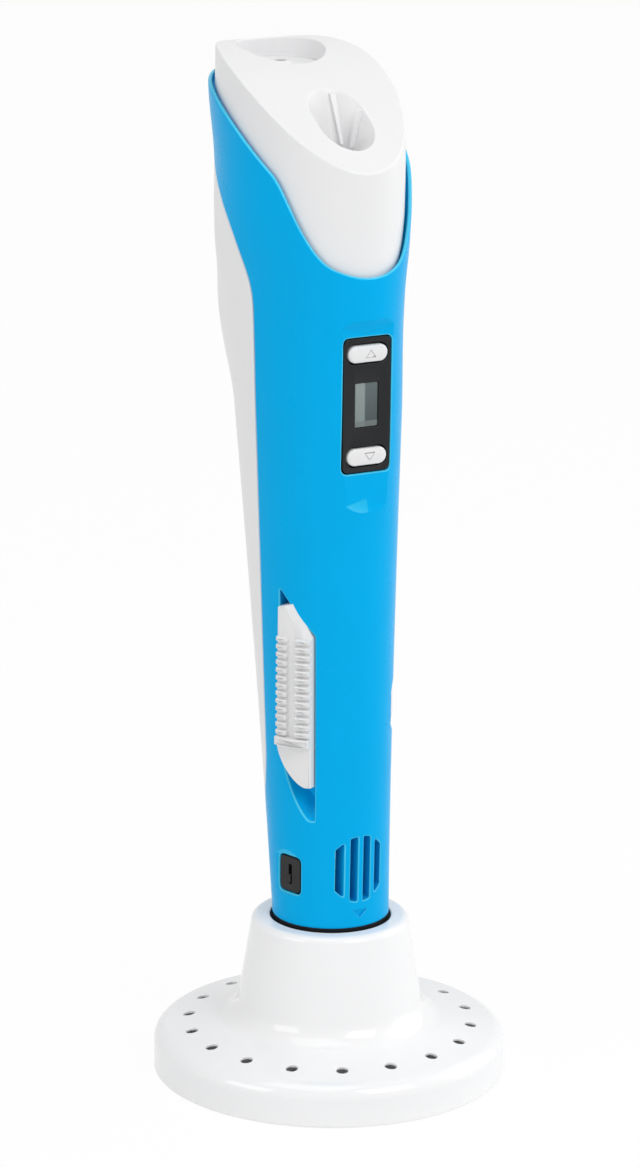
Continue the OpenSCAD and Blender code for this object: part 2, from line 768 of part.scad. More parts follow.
// Everything above the cap's top face
module above_cap(shift) {
    steps = 26;
    across()
        polygon(concat([for (i = [0:steps]) let (y = cut_y + cut_span * i / steps) [y, cap_line(y) + shift]],
                       [[cut_y + cut_span, cut_top_z], [cut_y, cut_top_z]]));
}

// Outline with the given upper corners, a pointed lower end and a curved lower left edge
function load_edge(upper, low, h) =
    concat(upper, [[h, low], [h - load_tip, low]],
           [for (i = [1:edge_steps]) let (w = 90 * i / edge_steps)
               [h - load_tip - (2 * h - load_tip) * pow(sin(w), load_bow),
                load_curve_z - (load_curve_z - low) * pow(cos(w), load_bow)]]);

module load_recess() {
    polygon(load_edge([[-load_half, load_top_z], [load_half, load_slant_z]], load_low_z, load_half));
}

// Outline of the load button, or of its opening when grown by the gap around it
module load_outline(grow) {
    h = load_half - button_gap + grow;
    knee_u = button_gap + load_knee - load_half;
    upper = [[-h, load_left_z + 2 * grow], [knee_u, load_knee_z + 2 * grow], [h, load_right_z + grow]];
    polygon(load_edge(upper, load_end_z - 2 * grow, h));
}

module stand() {
    slope_x = stand_r - stand_edge_round;
    fillet_x = collar_foot_r + stand_fillet;
    fillet_z = stand_edge_z + stand_plate_rise + stand_fillet;
    in_r = stand_r - stand_wall;
    in_z = stand_edge_z - stand_wall;
    lip = collar_round;
    color("white")
        difference() {
            rotate_extrude($fn = 128)
                polygon(concat([[stand_r, 0]],
                               arc(slope_x, stand_edge_z - stand_edge_round, stand_edge_round,
                                   0, 90 - stand_tilt, 8),
                               arc(fillet_x, fillet_z, stand_fillet,
                                   270 - stand_tilt / 2, 180 + collar_tilt, 8),
                               arc(collar_top_r - lip, collar_z - lip, lip, collar_tilt, 90, 6),
                               arc(socket_r + lip / 2, collar_z - lip / 2, lip / 2, 90, 180, 4),
                               [[socket_r, seat_z], [seat_hole_r, seat_z], [seat_hole_r, seat_z - stand_wall],
                                [collar_foot_r - stand_wall - stand_corner, seat_z - stand_wall],
                                [collar_foot_r - stand_wall, fillet_z - stand_corner],
                                [fillet_x, in_z + stand_plate_rise], [slope_x, in_z],
                                [in_r, in_z - stand_edge_round + stand_corner], [in_r, 0]]));
            for (i = [0:holder_count - 1])
                rotate([0, 0, holder_phase + i * 360 / holder_count])
                    translate([holder_circle_r, 0, 0])
                        cylinder(r = holder_r, h = collar_z, $fn = 32);
        }
}

// Block behind the display flat
module display_block() {
    back = disp_flat - disp_block;
    face = disp_flat - disp_block_sink;
    translate([0, 0, disp_z - disp_block_h / 2])
        linear_extrude(disp_block_h)
            polygon([[-disp_block_half, -back], [-disp_block_half, -back - disp_block_side],
                     [-disp_block_face, -face], [disp_block_face, -face],
                     [disp_block_half, -back - disp_block_side], [disp_block_half, -back]]);
}

module display_opening() {
    top = disp_z + disp_flat_up;
    low = disp_z - disp_flat_down;
    across(shoulder_half)
        polygon([[-big, low - disp_facet_down], [-front_d(low), low - disp_facet_down], [-disp_flat, low],
                 [-disp_flat, top], [-front_d(top), top + disp_facet_up], [-big, top + disp_facet_up]]);
    slab(0, bezel_back, big)
        translate([0, disp_z])
            rounded(bezel_w + 2 * bezel_gap, bezel_h + 2 * bezel_gap, bezel_round);
    slab(0, board_face, bezel_back + eps)
        translate([0, disp_z])
            square([bezel_w + 2 * bezel_gap, bezel_h - 2 * bezel_ledge], center = true);
}

module board_posts(r, from, to) {
    for (s = [-1, 1]) {
        along_y(s * board_screw_x, board_z + board_screw_edge, -to + post_root, -from, r);
        along_y(s * board_screw_x, board_top_z - board_screw_edge, -to, -from, r);
    }
}

module vents() {
    for (k = [-1.5:1:1.5]) {
        h = abs(k) > 1 ? vent_h - vent_short : vent_h;
        translate([k * vent_pitch - vent_w / 2, -big, vent_z - h / 2])
            cube([vent_w, big - nose_r + vent_d, h]);
    }
}

module switch_scoop() {
    low = mat_z - mat_h / 2;
    high = mat_z + mat_h / 2;
    reach = big - mat_flat;
    facing(-mat_angle)
        rotate([0, 90, 0])
            translate([0, 0, -mat_scoop_w / 2])
                linear_extrude(mat_scoop_w)
                    polygon([[-mat_flat, low], [-mat_flat, high], [-big, high + mat_scoop_up * reach],
                             [-big, low - mat_scoop_down * reach]]);
}

module shell_screw_columns() {
    for (s = [-1, 1])
        along_y(s * shell_screw_x, shell_screw_z, part_y - shell_boss_len, part_y, shell_boss_r);
}

module front_shell() {
    last = len(ring_z) - 1;
    rib_front = front_d(carrier_z) - wall + carrier_rib_root;
    screw_end = board_face + board_screw_len;
    post_front = disp_flat - disp_block + post_root;
    color("deepskyblue")
        difference() {
            union() {
                difference() {
                    body_solid(0, 0, last);
                    body_room(wall, 0, last);
                }
                display_block();
                board_posts(post_r, board_face, post_front);
                shell_screw_columns();
                intersection() {
                    body_solid(wall / 2, 0, last);
                    slab(-feed_angle, load_floor - load_plate, big)
                        translate([0, (load_top_z + load_low_z) / 2])
                            square([2 * (load_half + load_margin), load_top_z - load_low_z + 2 * load_margin],
                                   center = true);
                }
                translate([-carrier_rib_w / 2, -rib_front, carrier_z + carrier_rib_end])
                    cube([carrier_rib_w, rib_front - carrier_front, carrier_h - 2 * carrier_rib_end]);
            }
            behind_parting(0);
            beyond_rim(0, cut_top_z);
            intersection() {
                body_solid(rim_wall, low_rings + hump_rings - 1, last);
                beyond_rim(-skirt, cut_top_z);
            }
            display_opening();
            board_posts(board_screw_r + screw_gap, board_face - eps, screw_end + post_root);
            for (s = [-1, 1])
                along_y(s * shell_screw_x, shell_screw_z, part_y - shell_screw_len - screw_room, big,
                        shell_screw_r + screw_gap);
            slab(-feed_angle, load_floor, big)
                load_recess();
            slab(-feed_angle, feed_flange_d, big)
                load_outline(button_gap);
            slab(feed_angle, unload_floor, big)
                translate([0, unload_z])
                    stadium(unload_w + 2 * unload_margin, unload_h + 2 * unload_margin);
            slab(feed_angle, feed_flange_d, big)
                translate([0, unload_z])
                    stadium(unload_w + 2 * button_gap, unload_h + 2 * button_gap);
            switch_scoop();
            slab(-mat_angle, mat_face - mat_depth, big)
                translate([0, mat_z])
                    square([mat_w + 2 * seam, mat_h + 2 * seam], center = true);
            vents();
            slab(0, front_d(mark_z) - mark_depth, big)
                translate([0, mark_z])
                    polygon([[-mark_size, mark_size / 2], [mark_size, mark_size / 2], [0, -mark_size / 2]]);
        }
}

module frame_bosses(r, from) {
    for (s = [-1, 1]) {
        along_y(s * frame_screw_x, frame_z + frame_screw_edge, from, frame_back + boss_low_len, r);
        along_y(s * frame_screw_x, frame_z + frame_h - frame_screw_edge, from, frame_back + boss_top_len, r);
    }
}

module rear_cover() {
    last = len(ring_z) - 1;
    seat_y = part_y + shell_seat;
    color("white")
        difference() {
            union() {
                intersection() {
                    difference() {
                        body_solid(0, 0, last);
                        body_room(wall, 0, last);
                    }
                    behind_parting(seam);
                }
                for (s = [-1, 1])
                    along_y(s * shell_screw_x, shell_screw_z, part_y + seam, seat_y + shell_boss_over,
                            shell_boss_r);
                frame_bosses(boss_r, frame_back);
            }
            for (s = [-1, 1]) {
                along_y(s * shell_screw_x, shell_screw_z, 0, big, shell_screw_r + screw_gap);
                along_y(s * shell_screw_x, shell_screw_z, seat_y, big, shell_head_r + screw_gap);
            }
            frame_screw_holes(frame_back - eps, frame_back + frame_screw_len + screw_room, frame_screw_r);
        }
}

module frame_screw_holes(from, to, r) {
    for (s = [-1, 1])
        for (z = [frame_z + frame_screw_edge, frame_z + frame_h - frame_screw_edge])
            along_y(s * frame_screw_x, z, from, to, r + screw_gap);
}

module top_cap() {
    last = len(ring_z) - 1;
    first = low_rings + hump_rings - 1;
    color("white")
        difference() {
            union() {
                difference() {
                    body_solid(cap_inset, first, last);
                    difference() {
                        body_solid(cap_inset + cap_wall, first, last);
                        above_cap(-cap_top);
                    }
                }
                translate([0, -well_front, well_z])
                    linear_extrude(body_top_z - well_z)
                        stadium(2 * (well_r + well_wall), well_len + 2 * (well_r + well_wall));
                translate([0, feed_y, inlet_seat_z])
                    cylinder(r = pocket_r + pocket_wall, h = body_top_z - inlet_seat_z, $fn = fine);
                translate([0, feed_y, inlet_seat_z - inlet_boss_len])
                    cylinder(r = inlet_boss_r, h = inlet_boss_len + eps, $fn = fine);
            }
            above_cap(0);
            below_skirt();
            translate([0, -well_front, well_z - over])
                linear_extrude(body_top_z)
                    stadium(2 * well_r, well_len + 2 * well_r);
            translate([0, feed_y, pocket_z])
                cylinder(r = pocket_r, h = big, $fn = fine);
            translate([0, feed_y, inlet_seat_z - eps])
                cylinder(r = inlet_r, h = big, $fn = fine);
            translate([0, feed_y, pocket_z - inlet_r])
                cylinder(r1 = inlet_r, r2 = 2 * inlet_r, h = inlet_r + eps, $fn = fine);
            translate([0, feed_y, inlet_seat_z - inlet_boss_len - over])
                cylinder(r = tube_r + tube_gap, h = inlet_boss_len + over, $fn = fine);
        }
}

// Side of the cap's wall below the rim, leaving the plug well and inlet boss whole
module below_skirt() {
    difference() {
        beyond_rim(rim_gap - skirt, 2 * big);
        translate([0, -well_front, 0])
            linear_extrude(body_top_z)
                stadium(2 * (well_r + well_wall), well_len + 2 * (well_r + well_wall));
        translate([0, feed_y, 0])
            cylinder(r = inlet_boss_r, h = body_top_z, $fn = fine);
    }
}

module nose_ring() {
    bore = insul_r + sleeve_gap;
    color("black")
        rotate_extrude($fn = 96)
            polygon([[bore, seat_z], [ring_low_r, seat_z], [ring_r, ring_taper_z], [ring_r, body_z],
                     [spigot_r, body_z], [spigot_r, body_z + spigot_h], [bore, body_z + spigot_h]]);
}

module display_bezel() {
    color("black")
        slab(0, bezel_back, bezel_face)
            translate([0, disp_z])
                difference() {
                    rounded(bezel_w, bezel_h, bezel_round);
                    square([window_w, window_h], center = true);
                    for (s = [-1, 1])
                        translate([0, s * speed_z])
                            stadium(speed_w + 2 * button_gap, speed_h + 2 * button_gap);
                }
}

module display_lens() {
    color("lightgrey")
        slab(0, lens_back, bezel_back)
            translate([0, disp_z])
                square([window_w + 2 * lens_lap, window_h + 2 * lens_lap], center = true);
}

module lcd_module() {
    color("darkseagreen")
        slab(0, board_face, lens_back)
            translate([0, disp_z])
                square([lcd_w, lcd_h], center = true);
}

module control_board() {
    color("green")
        difference() {
            slab(0, board_back, board_face)
                translate([0, (board_z + board_top_z) / 2])
                    square([board_w, board_top_z - board_z], center = true);
            board_posts(board_screw_r + screw_gap, board_back - over, board_face + over);
        }
}

module board_screws() {
    color("silver")
        for (s = [-1, 1])
            for (z = [board_z + board_screw_edge, board_top_z - board_screw_edge]) {
                along_y(s * board_screw_x, z, -board_face - board_screw_len, eps - board_back, board_screw_r);
                along_y(s * board_screw_x, z, -board_back, -board_back + board_head_h, board_head_r);
            }
}

module speed_switches() {
    color("dimgrey")
        for (s = [-1, 1])
            difference() {
                slab(0, board_face, speed_sw_face)
                    translate([0, disp_z + s * speed_z])
                        square(speed_sw, center = true);
                slab(0, speed_sw_face - plunger_in - travel - plunger_room, big)
                    translate([0, disp_z + s * speed_z])
                        circle(plunger_r + plunger_fit, $fn = fine);
            }
}

module speed_button(s) {
    color("white") {
        slab(0, flange_front - eps, bezel_face + speed_proud)
            translate([0, disp_z + s * speed_z])
                stadium(speed_w, speed_h);
        slab(0, flange_back, flange_front)
            translate([0, disp_z + s * speed_z])
                square([bezel_w - 2 * speed_flange_in, speed_flange_h], center = true);
    }
}

module speed_plunger(s) {
    color("black")
        slab(0, speed_sw_face - plunger_in, flange_back)
            translate([0, disp_z + s * speed_z])
                circle(plunger_r, $fn = fine);
}

module speed_up_button() {
    speed_button(1);
}

module speed_down_button() {
    speed_button(-1);
}

module speed_up_plunger() {
    speed_plunger(1);
}

module speed_down_plunger() {
    speed_plunger(-1);
}

// Corner of the carrier's right wall at a distance from the axis, where it meets the plane y
function carrier_x(d, y) = (d + cos_f * y) / sin_f;

module switch_carrier() {
    d = carrier_d;
    i = carrier_d - carrier_t;
    end_x = d * sin_f + carrier_reach * cos_f;
    end_y = -d * cos_f + carrier_reach * sin_f;
    in_x = i * sin_f + carrier_reach * cos_f;
    in_y = -i * cos_f + carrier_reach * sin_f;
    front = -carrier_front;
    half = carrier_x(d, front);
    apex = -i / cos_f;
    color("ivory")
        translate([0, 0, carrier_z])
            linear_extrude(carrier_h)
                polygon([[half, front], [end_x, end_y], [in_x, in_y], [0, apex], [-in_x, in_y],
                         [-end_x, end_y], [-half, front]]);
}

module feed_switch(angle, z) {
    difference() {
        slab(angle, carrier_d, feed_sw_face)
            translate([0, z])
                square(feed_sw, center = true);
        slab(angle, feed_sw_face - plunger_in - travel - plunger_room, big)
            translate([0, z])
                circle(plunger_r + plunger_fit, $fn = fine);
    }
}

module feed_switches() {
    color("dimgrey") {
        feed_switch(-feed_angle, load_switch_z);
        feed_switch(feed_angle, unload_z);
    }
}

// Round face of the load button, standing out by a distance
module load_round(out) {
    facing(-feed_angle)
        rotate([-90, 0, 0])
            translate([0, load_crown - load_face, 0])
                cylinder(r = load_crown + out, h = big * 2, $fn = 96);
}

module load_button() {
    flange_z0 = load_curve_z - load_flange_over;
    flange_z1 = load_slant_z + load_flange_over;
    half = load_half - button_gap;
    rib_near = load_floor + rib_root;
    rib_len = half - spine_half - 2 * rib_inset;
    color("white") {
        intersection() {
            slab(-feed_angle, feed_flange_d, big)
                load_outline(0);
            load_round(0);
        }
        slab(-feed_angle, feed_flange_d, feed_flange_d + load_flange_t)
            translate([0, (flange_z0 + flange_z1) / 2])
                square([2 * (half + flange_out), flange_z1 - flange_z0], center = true);
        intersection() {
            load_round(rib_out);
            slab(-feed_angle, rib_near, big)
                for (k = [0:rib_count - 1])
                    for (s = [-1, 1])
                        translate([s * (half + spine_half) / 2, load_ridge_z + rib_first + k * rib_pitch])
                            square([rib_len, rib_w], center = true);
        }
        intersection() {
            load_round(2 * rib_out);
            slab(-feed_angle, rib_near, big)
                translate([0, load_ridge_z])
                    square([2 * (half - rib_inset), ridge_h], center = true);
        }
    }
}

module load_plunger() {
    color("black")
        slab(-feed_angle, feed_sw_face - plunger_in, feed_flange_d)
            translate([0, load_switch_z])
                circle(plunger_r, $fn = fine);
}

module unload_button() {
    color("white") {
        slab(feed_angle, feed_flange_d, unload_face)
            translate([0, unload_z])
                stadium(unload_w, unload_h);
        slab(feed_angle, feed_flange_d, feed_flange_d + unload_flange_t)
            translate([0, unload_z])
                square([unload_w + 2 * flange_out, unload_h + 2 * flange_out], center = true);
    }
}

module unload_plunger() {
    color("black")
        slab(feed_angle, feed_sw_face - plunger_in, feed_flange_d)
            translate([0, unload_z])
                circle(plunger_r, $fn = fine);
}

module material_switch() {
    color("black")
        difference() {
            slab(-mat_angle, mat_face - mat_depth, mat_face)
                translate([0, mat_z])
                    square([mat_w, mat_h], center = true);
            slab(-mat_angle, mat_face - slot_d, big)
                translate([0, mat_z])
                    square([slot_w, slot_h], center = true);
        }
}

module material_knob() {
    color("dimgrey")
        slab(-mat_angle, mat_face - slot_d, mat_face + knob_out)
            translate([0, mat_z - slot_h / 2 + button_gap + knob_h / 2])
                square([slot_w - 2 * button_gap, knob_h], center = true);
}

module dc_jack() {
    color("black")
        difference() {
            translate([-jack_w / 2, -well_front - jack_d / 2, jack_z])
                cube([jack_w, jack_d, jack_h]);
            translate([0, -well_front, jack_z + jack_floor])
                cylinder(r = jack_bore_r, h = jack_h, $fn = fine);
        }
}

module dc_jack_pin() {
    color("gold")
        translate([0, -well_front, jack_z + jack_floor])
            cylinder(r = jack_pin_r, h = jack_pin_len, $fn = fine);
}

module inlet_tube() {
    low = frame_z + frame_h - holder_top_h;
    color("white")
        translate([0, feed_y, low])
            difference() {
                cylinder(r = tube_r, h = inlet_seat_z - low, $fn = fine);
                translate([0, 0, -over])
                    cylinder(r = tube_bore, h = big, $fn = fine);
            }
}

module feeder_frame() {
    depth = feed_y + tube_holder_back - frame_back;
    color("dimgrey")
        difference() {
            union() {
                translate([-frame_w / 2, frame_y, frame_z])
                    cube([frame_w, frame_t, frame_h]);
                translate([-tube_holder_half, frame_back - eps, frame_z])
                    cube([2 * tube_holder_half, depth, holder_low_h]);
                translate([-tube_holder_half, frame_back - eps, frame_z + frame_h - holder_top_h])
                    cube([2 * tube_holder_half, depth, holder_top_h]);
            }
            along_y(-wheel_x, feed_z, 0, frame_back + over, gear_boss_r + screw_gap);
            along_y(roller_x, feed_z, 0, frame_back + over, axle_r);
            frame_screw_holes(0, frame_back + over, frame_screw_r);
            frame_screw_holes(0, frame_y + frame_head_h, frame_head_r);
            translate([0, feed_y, frame_z - over])
                cylinder(r = tube_r + tube_gap, h = frame_h + 2 * over, $fn = fine);
        }
}

module frame_screws() {
    color("silver")
        for (s = [-1, 1])
            for (z = [frame_z + frame_screw_edge, frame_z + frame_h - frame_screw_edge]) {
                along_y(s * frame_screw_x, z, frame_y, frame_back + frame_screw_len, frame_screw_r);
                along_y(s * frame_screw_x, z, frame_y, frame_y + frame_head_h, frame_head_r);
            }
}

module motor_can() {
    from = frame_y - gearbox_len - motor_len;
    color("silver")
        intersection() {
            along_y(-wheel_x, feed_z, from, from + motor_len, motor_h / 2);
            translate([-wheel_x - motor_w / 2, from, feed_z - motor_h / 2])
                cube([motor_w, motor_len, motor_h]);
        }
}

module gearbox() {
    from = frame_y - gearbox_len;
    color("goldenrod")
        difference() {
            union() {
                translate([-wheel_x - motor_w / 2, from, feed_z - motor_h / 2])
                    cube([motor_w, gearbox_len, motor_h]);
                along_y(-wheel_x, feed_z, frame_y - eps, frame_back, gear_boss_r);
            }
            along_y(-wheel_x, feed_z, from + gear_back, frame_back + over, shaft_r + turn_fit);
        }
}

module feed_shaft() {
    color("silver")
        along_y(-wheel_x, feed_z, frame_y - gearbox_len + gear_back + shaft_play, shaft_end, shaft_r);
}

module drive_wheel() {
    tooth = 360 / wheel_teeth;
    color("darkgoldenrod")
        translate([-wheel_x, feed_y + wheel_w / 2, feed_z])
            rotate([90, 0, 0])
                linear_extrude(wheel_w)
                    difference() {
                        polygon([for (i = [0:2 * wheel_teeth - 1])
                            let (r = wheel_r - (i % 2) * tooth_d, w = i * tooth / 2)
                                [r * cos(w), r * sin(w)]]);
                        circle(shaft_r, $fn = fine);
                    }
}

module idler_axle() {
    near = feed_y - roller_w / 2 - roller_gap;
    far = feed_y + roller_w / 2 + roller_gap;
    color("silver") {
        along_y(roller_x, feed_z, frame_y, far, axle_r);
        along_y(roller_x, feed_z, frame_back, near, axle_shoulder_r);
        along_y(roller_x, feed_z, far - eps, far + axle_head, axle_shoulder_r);
    }
}

module idler_roller() {
    color("gainsboro")
        difference() {
            along_y(roller_x, feed_z, feed_y - roller_w / 2, feed_y + roller_w / 2, roller_r);
            along_y(roller_x, feed_z, 0, big, axle_r + turn_fit);
        }
}

// Stations of the feed tube from its top to the hot barrel: y, z and tilt
tube_stations = concat([[feed_y, tube_low_z + tube_straight, 0]],
    [for (i = [0:bend_steps]) let (w = tube_tilt * i / bend_steps)
        [feed_y - tube_bend_r * (1 - cos(w)), tube_low_z - tube_bend_r * sin(w), w]],
    [for (i = [bend_steps:-1:0]) let (w = tube_tilt * i / bend_steps)
        [tube_bend_r * (1 - cos(w)), barrel_top_z + tube_bend_r * sin(w), w]]);

function tube_ring(s, r) = [for (i = [0:tube_sides - 1]) let (w = 360 * i / tube_sides)
    [r * cos(w), s[0] + r * sin(w) * cos(s[2]), s[1] - r * sin(w) * sin(s[2])]];

module feed_tube() {
    n = tube_sides;
    m = len(tube_stations);
    outer = [for (s = tube_stations) each tube_ring(s, tube_r)];
    inner = [for (s = tube_stations) each tube_ring(s, tube_bore)];
    far = n * m;
    end = n * (m - 1);
    sides = [for (k = [0:m - 2]) for (i = [0:n - 1]) let (j = (i + 1) % n, a = k * n, b = a + n)
        each [[a + i, a + j, b + i], [a + j, b + j, b + i],
              [far + a + i, far + b + i, far + a + j], [far + a + j, far + b + i, far + b + j]]];
    ends = [for (i = [0:n - 1]) let (j = (i + 1) % n)
        each [[i, far + i, j], [j, far + i, far + j],
              [end + i, end + j, far + end + i], [end + j, far + end + j, far + end + i]]];
    color("white")
        polyhedron(concat(outer, inner), concat(sides, ends));
}

module heat_sink() {
    pitch = sink_h / (fin_count - 0.5);
    color("silver")
        translate([0, 0, insul_top_z])
            difference() {
                union() {
                    cylinder(r = sink_core_r, h = sink_h, $fn = fine);
                    for (i = [0:fin_count - 1])
                        translate([0, 0, i * pitch])
                            cylinder(r = fin_r, h = pitch / 2, $fn = fine);
                }
                translate([0, 0, -over])
                    cylinder(r = barrel_r + sleeve_gap, h = big, $fn = fine);
            }
}

module hot_barrel() {
    color("silver")
        translate([0, 0, barrel_z])
            difference() {
                cylinder(r = barrel_r, h = barrel_top_z - barrel_z, $fn = fine);
                translate([0, 0, -over])
                    cylinder(r = tube_bore, h = big * 2, $fn = fine);
            }
}

module heater_sleeve() {
    color("ivory")
        translate([0, 0, nozzle_top_z])
            difference() {
                cylinder(r = heater_r, h = heater_top_z - nozzle_top_z, $fn = fine);
                translate([0, 0, -over])
                    cylinder(r = barrel_r + sleeve_gap, h = big, $fn = fine);
            }
}

module insulator() {
    color("ivory")
        translate([0, 0, insul_z])
            difference() {
                cylinder(r = insul_r, h = insul_top_z - insul_z, $fn = fine);
                translate([0, 0, -over])
                    cylinder(r = insul_bore, h = big, $fn = fine);
            }
}

module nozzle() {
    color("goldenrod")
        rotate_extrude($fn = 96)
            polygon([[nozzle_hole_r, nozzle_z], [nozzle_tip_r, nozzle_z], [nozzle_r, nozzle_cone_z],
                     [nozzle_r, nozzle_top_z], [barrel_r + sleeve_gap, nozzle_top_z],
                     [barrel_r + sleeve_gap, barrel_z], [tube_bore, barrel_z],
                     [nozzle_hole_r, nozzle_z + nozzle_hole_len]]);
}

module shell_screws() {
    seat_y = part_y + shell_seat;
    color("silver")
        for (s = [-1, 1]) {
            along_y(s * shell_screw_x, shell_screw_z, part_y - shell_screw_len, seat_y + eps, shell_screw_r);
            along_y(s * shell_screw_x, shell_screw_z, seat_y, seat_y + shell_head_h, shell_head_r);
        }
}

stand();
front_shell();
rear_cover();
top_cap();
nose_ring();
display_bezel();
display_lens();
lcd_module();
control_board();
board_screws();
speed_switches();
speed_up_button();
speed_down_button();
speed_up_plunger();
speed_down_plunger();
switch_carrier();
feed_switches();
load_button();
load_plunger();
unload_button();
unload_plunger();
material_switch();
material_knob();
dc_jack();
dc_jack_pin();
inlet_tube();
feeder_frame();
frame_screws();
motor_can();
gearbox();
feed_shaft();
drive_wheel();
idler_axle();
idler_roller();
feed_tube();
heat_sink();
hot_barrel();
heater_sleeve();
insulator();
nozzle();
shell_screws();
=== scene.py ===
import json
import math

import bmesh
import bpy
import numpy as np
from mathutils import Matrix, Vector


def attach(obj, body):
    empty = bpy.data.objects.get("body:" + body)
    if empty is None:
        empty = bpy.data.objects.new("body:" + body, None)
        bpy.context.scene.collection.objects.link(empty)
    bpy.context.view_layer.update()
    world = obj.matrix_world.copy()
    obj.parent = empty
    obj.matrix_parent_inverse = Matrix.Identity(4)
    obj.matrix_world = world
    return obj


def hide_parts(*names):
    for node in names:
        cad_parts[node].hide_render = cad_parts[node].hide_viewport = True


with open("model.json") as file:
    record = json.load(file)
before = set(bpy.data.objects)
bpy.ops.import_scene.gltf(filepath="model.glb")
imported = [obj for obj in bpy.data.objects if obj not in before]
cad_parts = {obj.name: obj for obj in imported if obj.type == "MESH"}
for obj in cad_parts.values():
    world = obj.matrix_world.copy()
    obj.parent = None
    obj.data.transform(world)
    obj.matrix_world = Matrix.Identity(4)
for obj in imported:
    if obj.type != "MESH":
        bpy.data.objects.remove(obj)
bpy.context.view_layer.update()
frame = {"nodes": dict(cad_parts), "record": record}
nodes = frame["nodes"]

# Lengths are in millimetres in the part's frame until a mesh is made
MM = 0.001
# Points closer than this, in metres, are one point
JOIN = 2e-7
# Kinds of face: plain, rounded edge, sloping facet; on the blue shell the rounded edges and the marked facets
# get a painted highlight
PLAIN, EDGE, FACET = range(3)
# Length that clears the whole part
BIG = 60.0
# How far a cutter stands out of the face that it cuts
CLEAR = 3.0
# Least step between two rings of a cutter
SHELF = 0.02
# Rounds of the search for the height at which the skin meets a line
SEARCH_ROUNDS = 16
# Samples of the searches for the parting line's angle and tips
SEARCH_ANGLES = 2881
SEARCH_HEIGHTS = 60001
# Degrees from which an edge is sharp, up to which a copied node's faces are one flat, and from which to bevel
SHARP_ANGLE = 34
FLAT_ANGLE = 2
BEVEL_ANGLE = 40
BEVEL_SEGMENTS = 3
# Points of a copied node closer than this, in metres, are one point
COPY_JOIN = 2e-6
# Rings of a button's domed face, and how near the last one comes to its middle
PAD_RINGS = 8
PAD_MIDDLE = 0.96
# Half angles at which a corner counts as shut or straight, and the share of a side that its rounding may take
CORNER_ANGLES = (0.05, 1.45)
CORNER_REACH = 0.48
# Least share of a straight push that a sharp corner of an outline gets when it is grown
MITRE = 0.5
# Degrees at which the rounded edge of an opening starts, just off the level of the face, and its steps
MOUTH_START = 12
MOUTH_ROWS = 5
# Distances from an edge at which the rows and columns of a shell lie
EDGE_STEPS = (0.0, 0.03, 0.09, 0.18, 0.3, 0.45, 0.8)
FOOT_STEPS = EDGE_STEPS[:5]
RIM_STEPS = EDGE_STEPS[5::-1]

# Body of the pen
BODY_Z = 30.6
SHELL_LOW = 30.0
NOSE_R = 10.75
SHOULDER_HALF = 15.4
SHOULDER_Z = 160.0
WIDTH_POWER = 1.4
TOP_FLARE = 0.55
FLARE_Z = 146.0
FLARE_H = 9.0
BODY_TOP_Z = 193.0
FRONT_SWELL = 2.2
REAR_SLOPE = 0.156
HUMP_Z = 124.0
HUMP_RISE = 20.0
HUMP_REAR = 31.7
HUMP_SLOPE = -0.03
REAR_FLARE = 3.6
REAR_FLARE_Z = 166.0
REAR_FLARE_H = 16.0
WALL = 1.8

# Parting line between the blue shell and the white rear cover
PART_Y = 4.9
PART_TOP_Z = 143.0
PART_TOP_BEND = 0.0285
PART_LOW_Z = 62.0
PART_LOW_BEND = 0.0223
SEAM = 0.2
PART_ROUND = 0.35
# Rows that crowd towards the tips of the parting line
TIP_STEP = 0.0063
TIP_ROWS = 19
# First and last row of the blue shell as shares of its height, and the counts of its rows and columns
SHELL_SHARES = (0.0035, 0.985)
SHELL_ROWS = 260
SHELL_COLUMNS = 150
# How far the rows inside the blue shell are pressed together above the parting line
INNER_SQUEEZE = 0.35
# The rear cover's first row after the crowded ones, and the counts of its rows and columns
COVER_END = 2.6
COVER_ROWS = 190
COVER_COLUMNS = 110

# Rim of the blue shell and the white cap inside it
RIM_Z = 169.1
RIM_SLOPE = 0.745
RIM_BEND = 0.0103
RIM_DROP = 8.9
RIM_DROP_Y = -1.0
RIM_DROP_LEN = 9.8
RIM_WALL = 0.72
RIM_ROUND = 0.45
RIM_INNER_ROUND = 0.25
# Depth below the rim and share of the inner rounding at each step over it
RIM_INNER_STEPS = ((0.0, 0.0), (0.03, 0.5), (0.1, 0.85), (0.25, 1.0))
RIM_LIP = 1.2
# Rows of the rim that carry a painted highlight, counted from the start of its rounding
PAINTED_HIGHLIGHT_ROWS = (2, 9)
LOW_ROUND = 0.3
CAP_INSET = 1.25
CAP_WALL = 1.7
CAP_TOP = 2.2
CAP_SKIRT = 3.3
CAP_ROUND = 0.35
CAP_INNER_ROUND = 0.3
CAP_OPEN = 6.0
CAP_ROWS = 30
CAP_COLUMNS = 240
CAP_RINGS = 16
CAP_MIDDLE = 0.04
CAP_Z = 178.0
CAP_SLOPE = 0.672
CAP_BEND = 0.00856
CAP_TWIST = 0.00012
WELL_Y = -1.0
WELL_R = 5.2
WELL_LEN = 2.6
WELL_WALL = 1.4
WELL_Z = 166.0
WELL_ROUND = 0.3
WELL_FOOT = 0.56
WELL_FOOT_Z = 171.0
WELL_UNDER = 9.0
WELL_STEP = 0.8
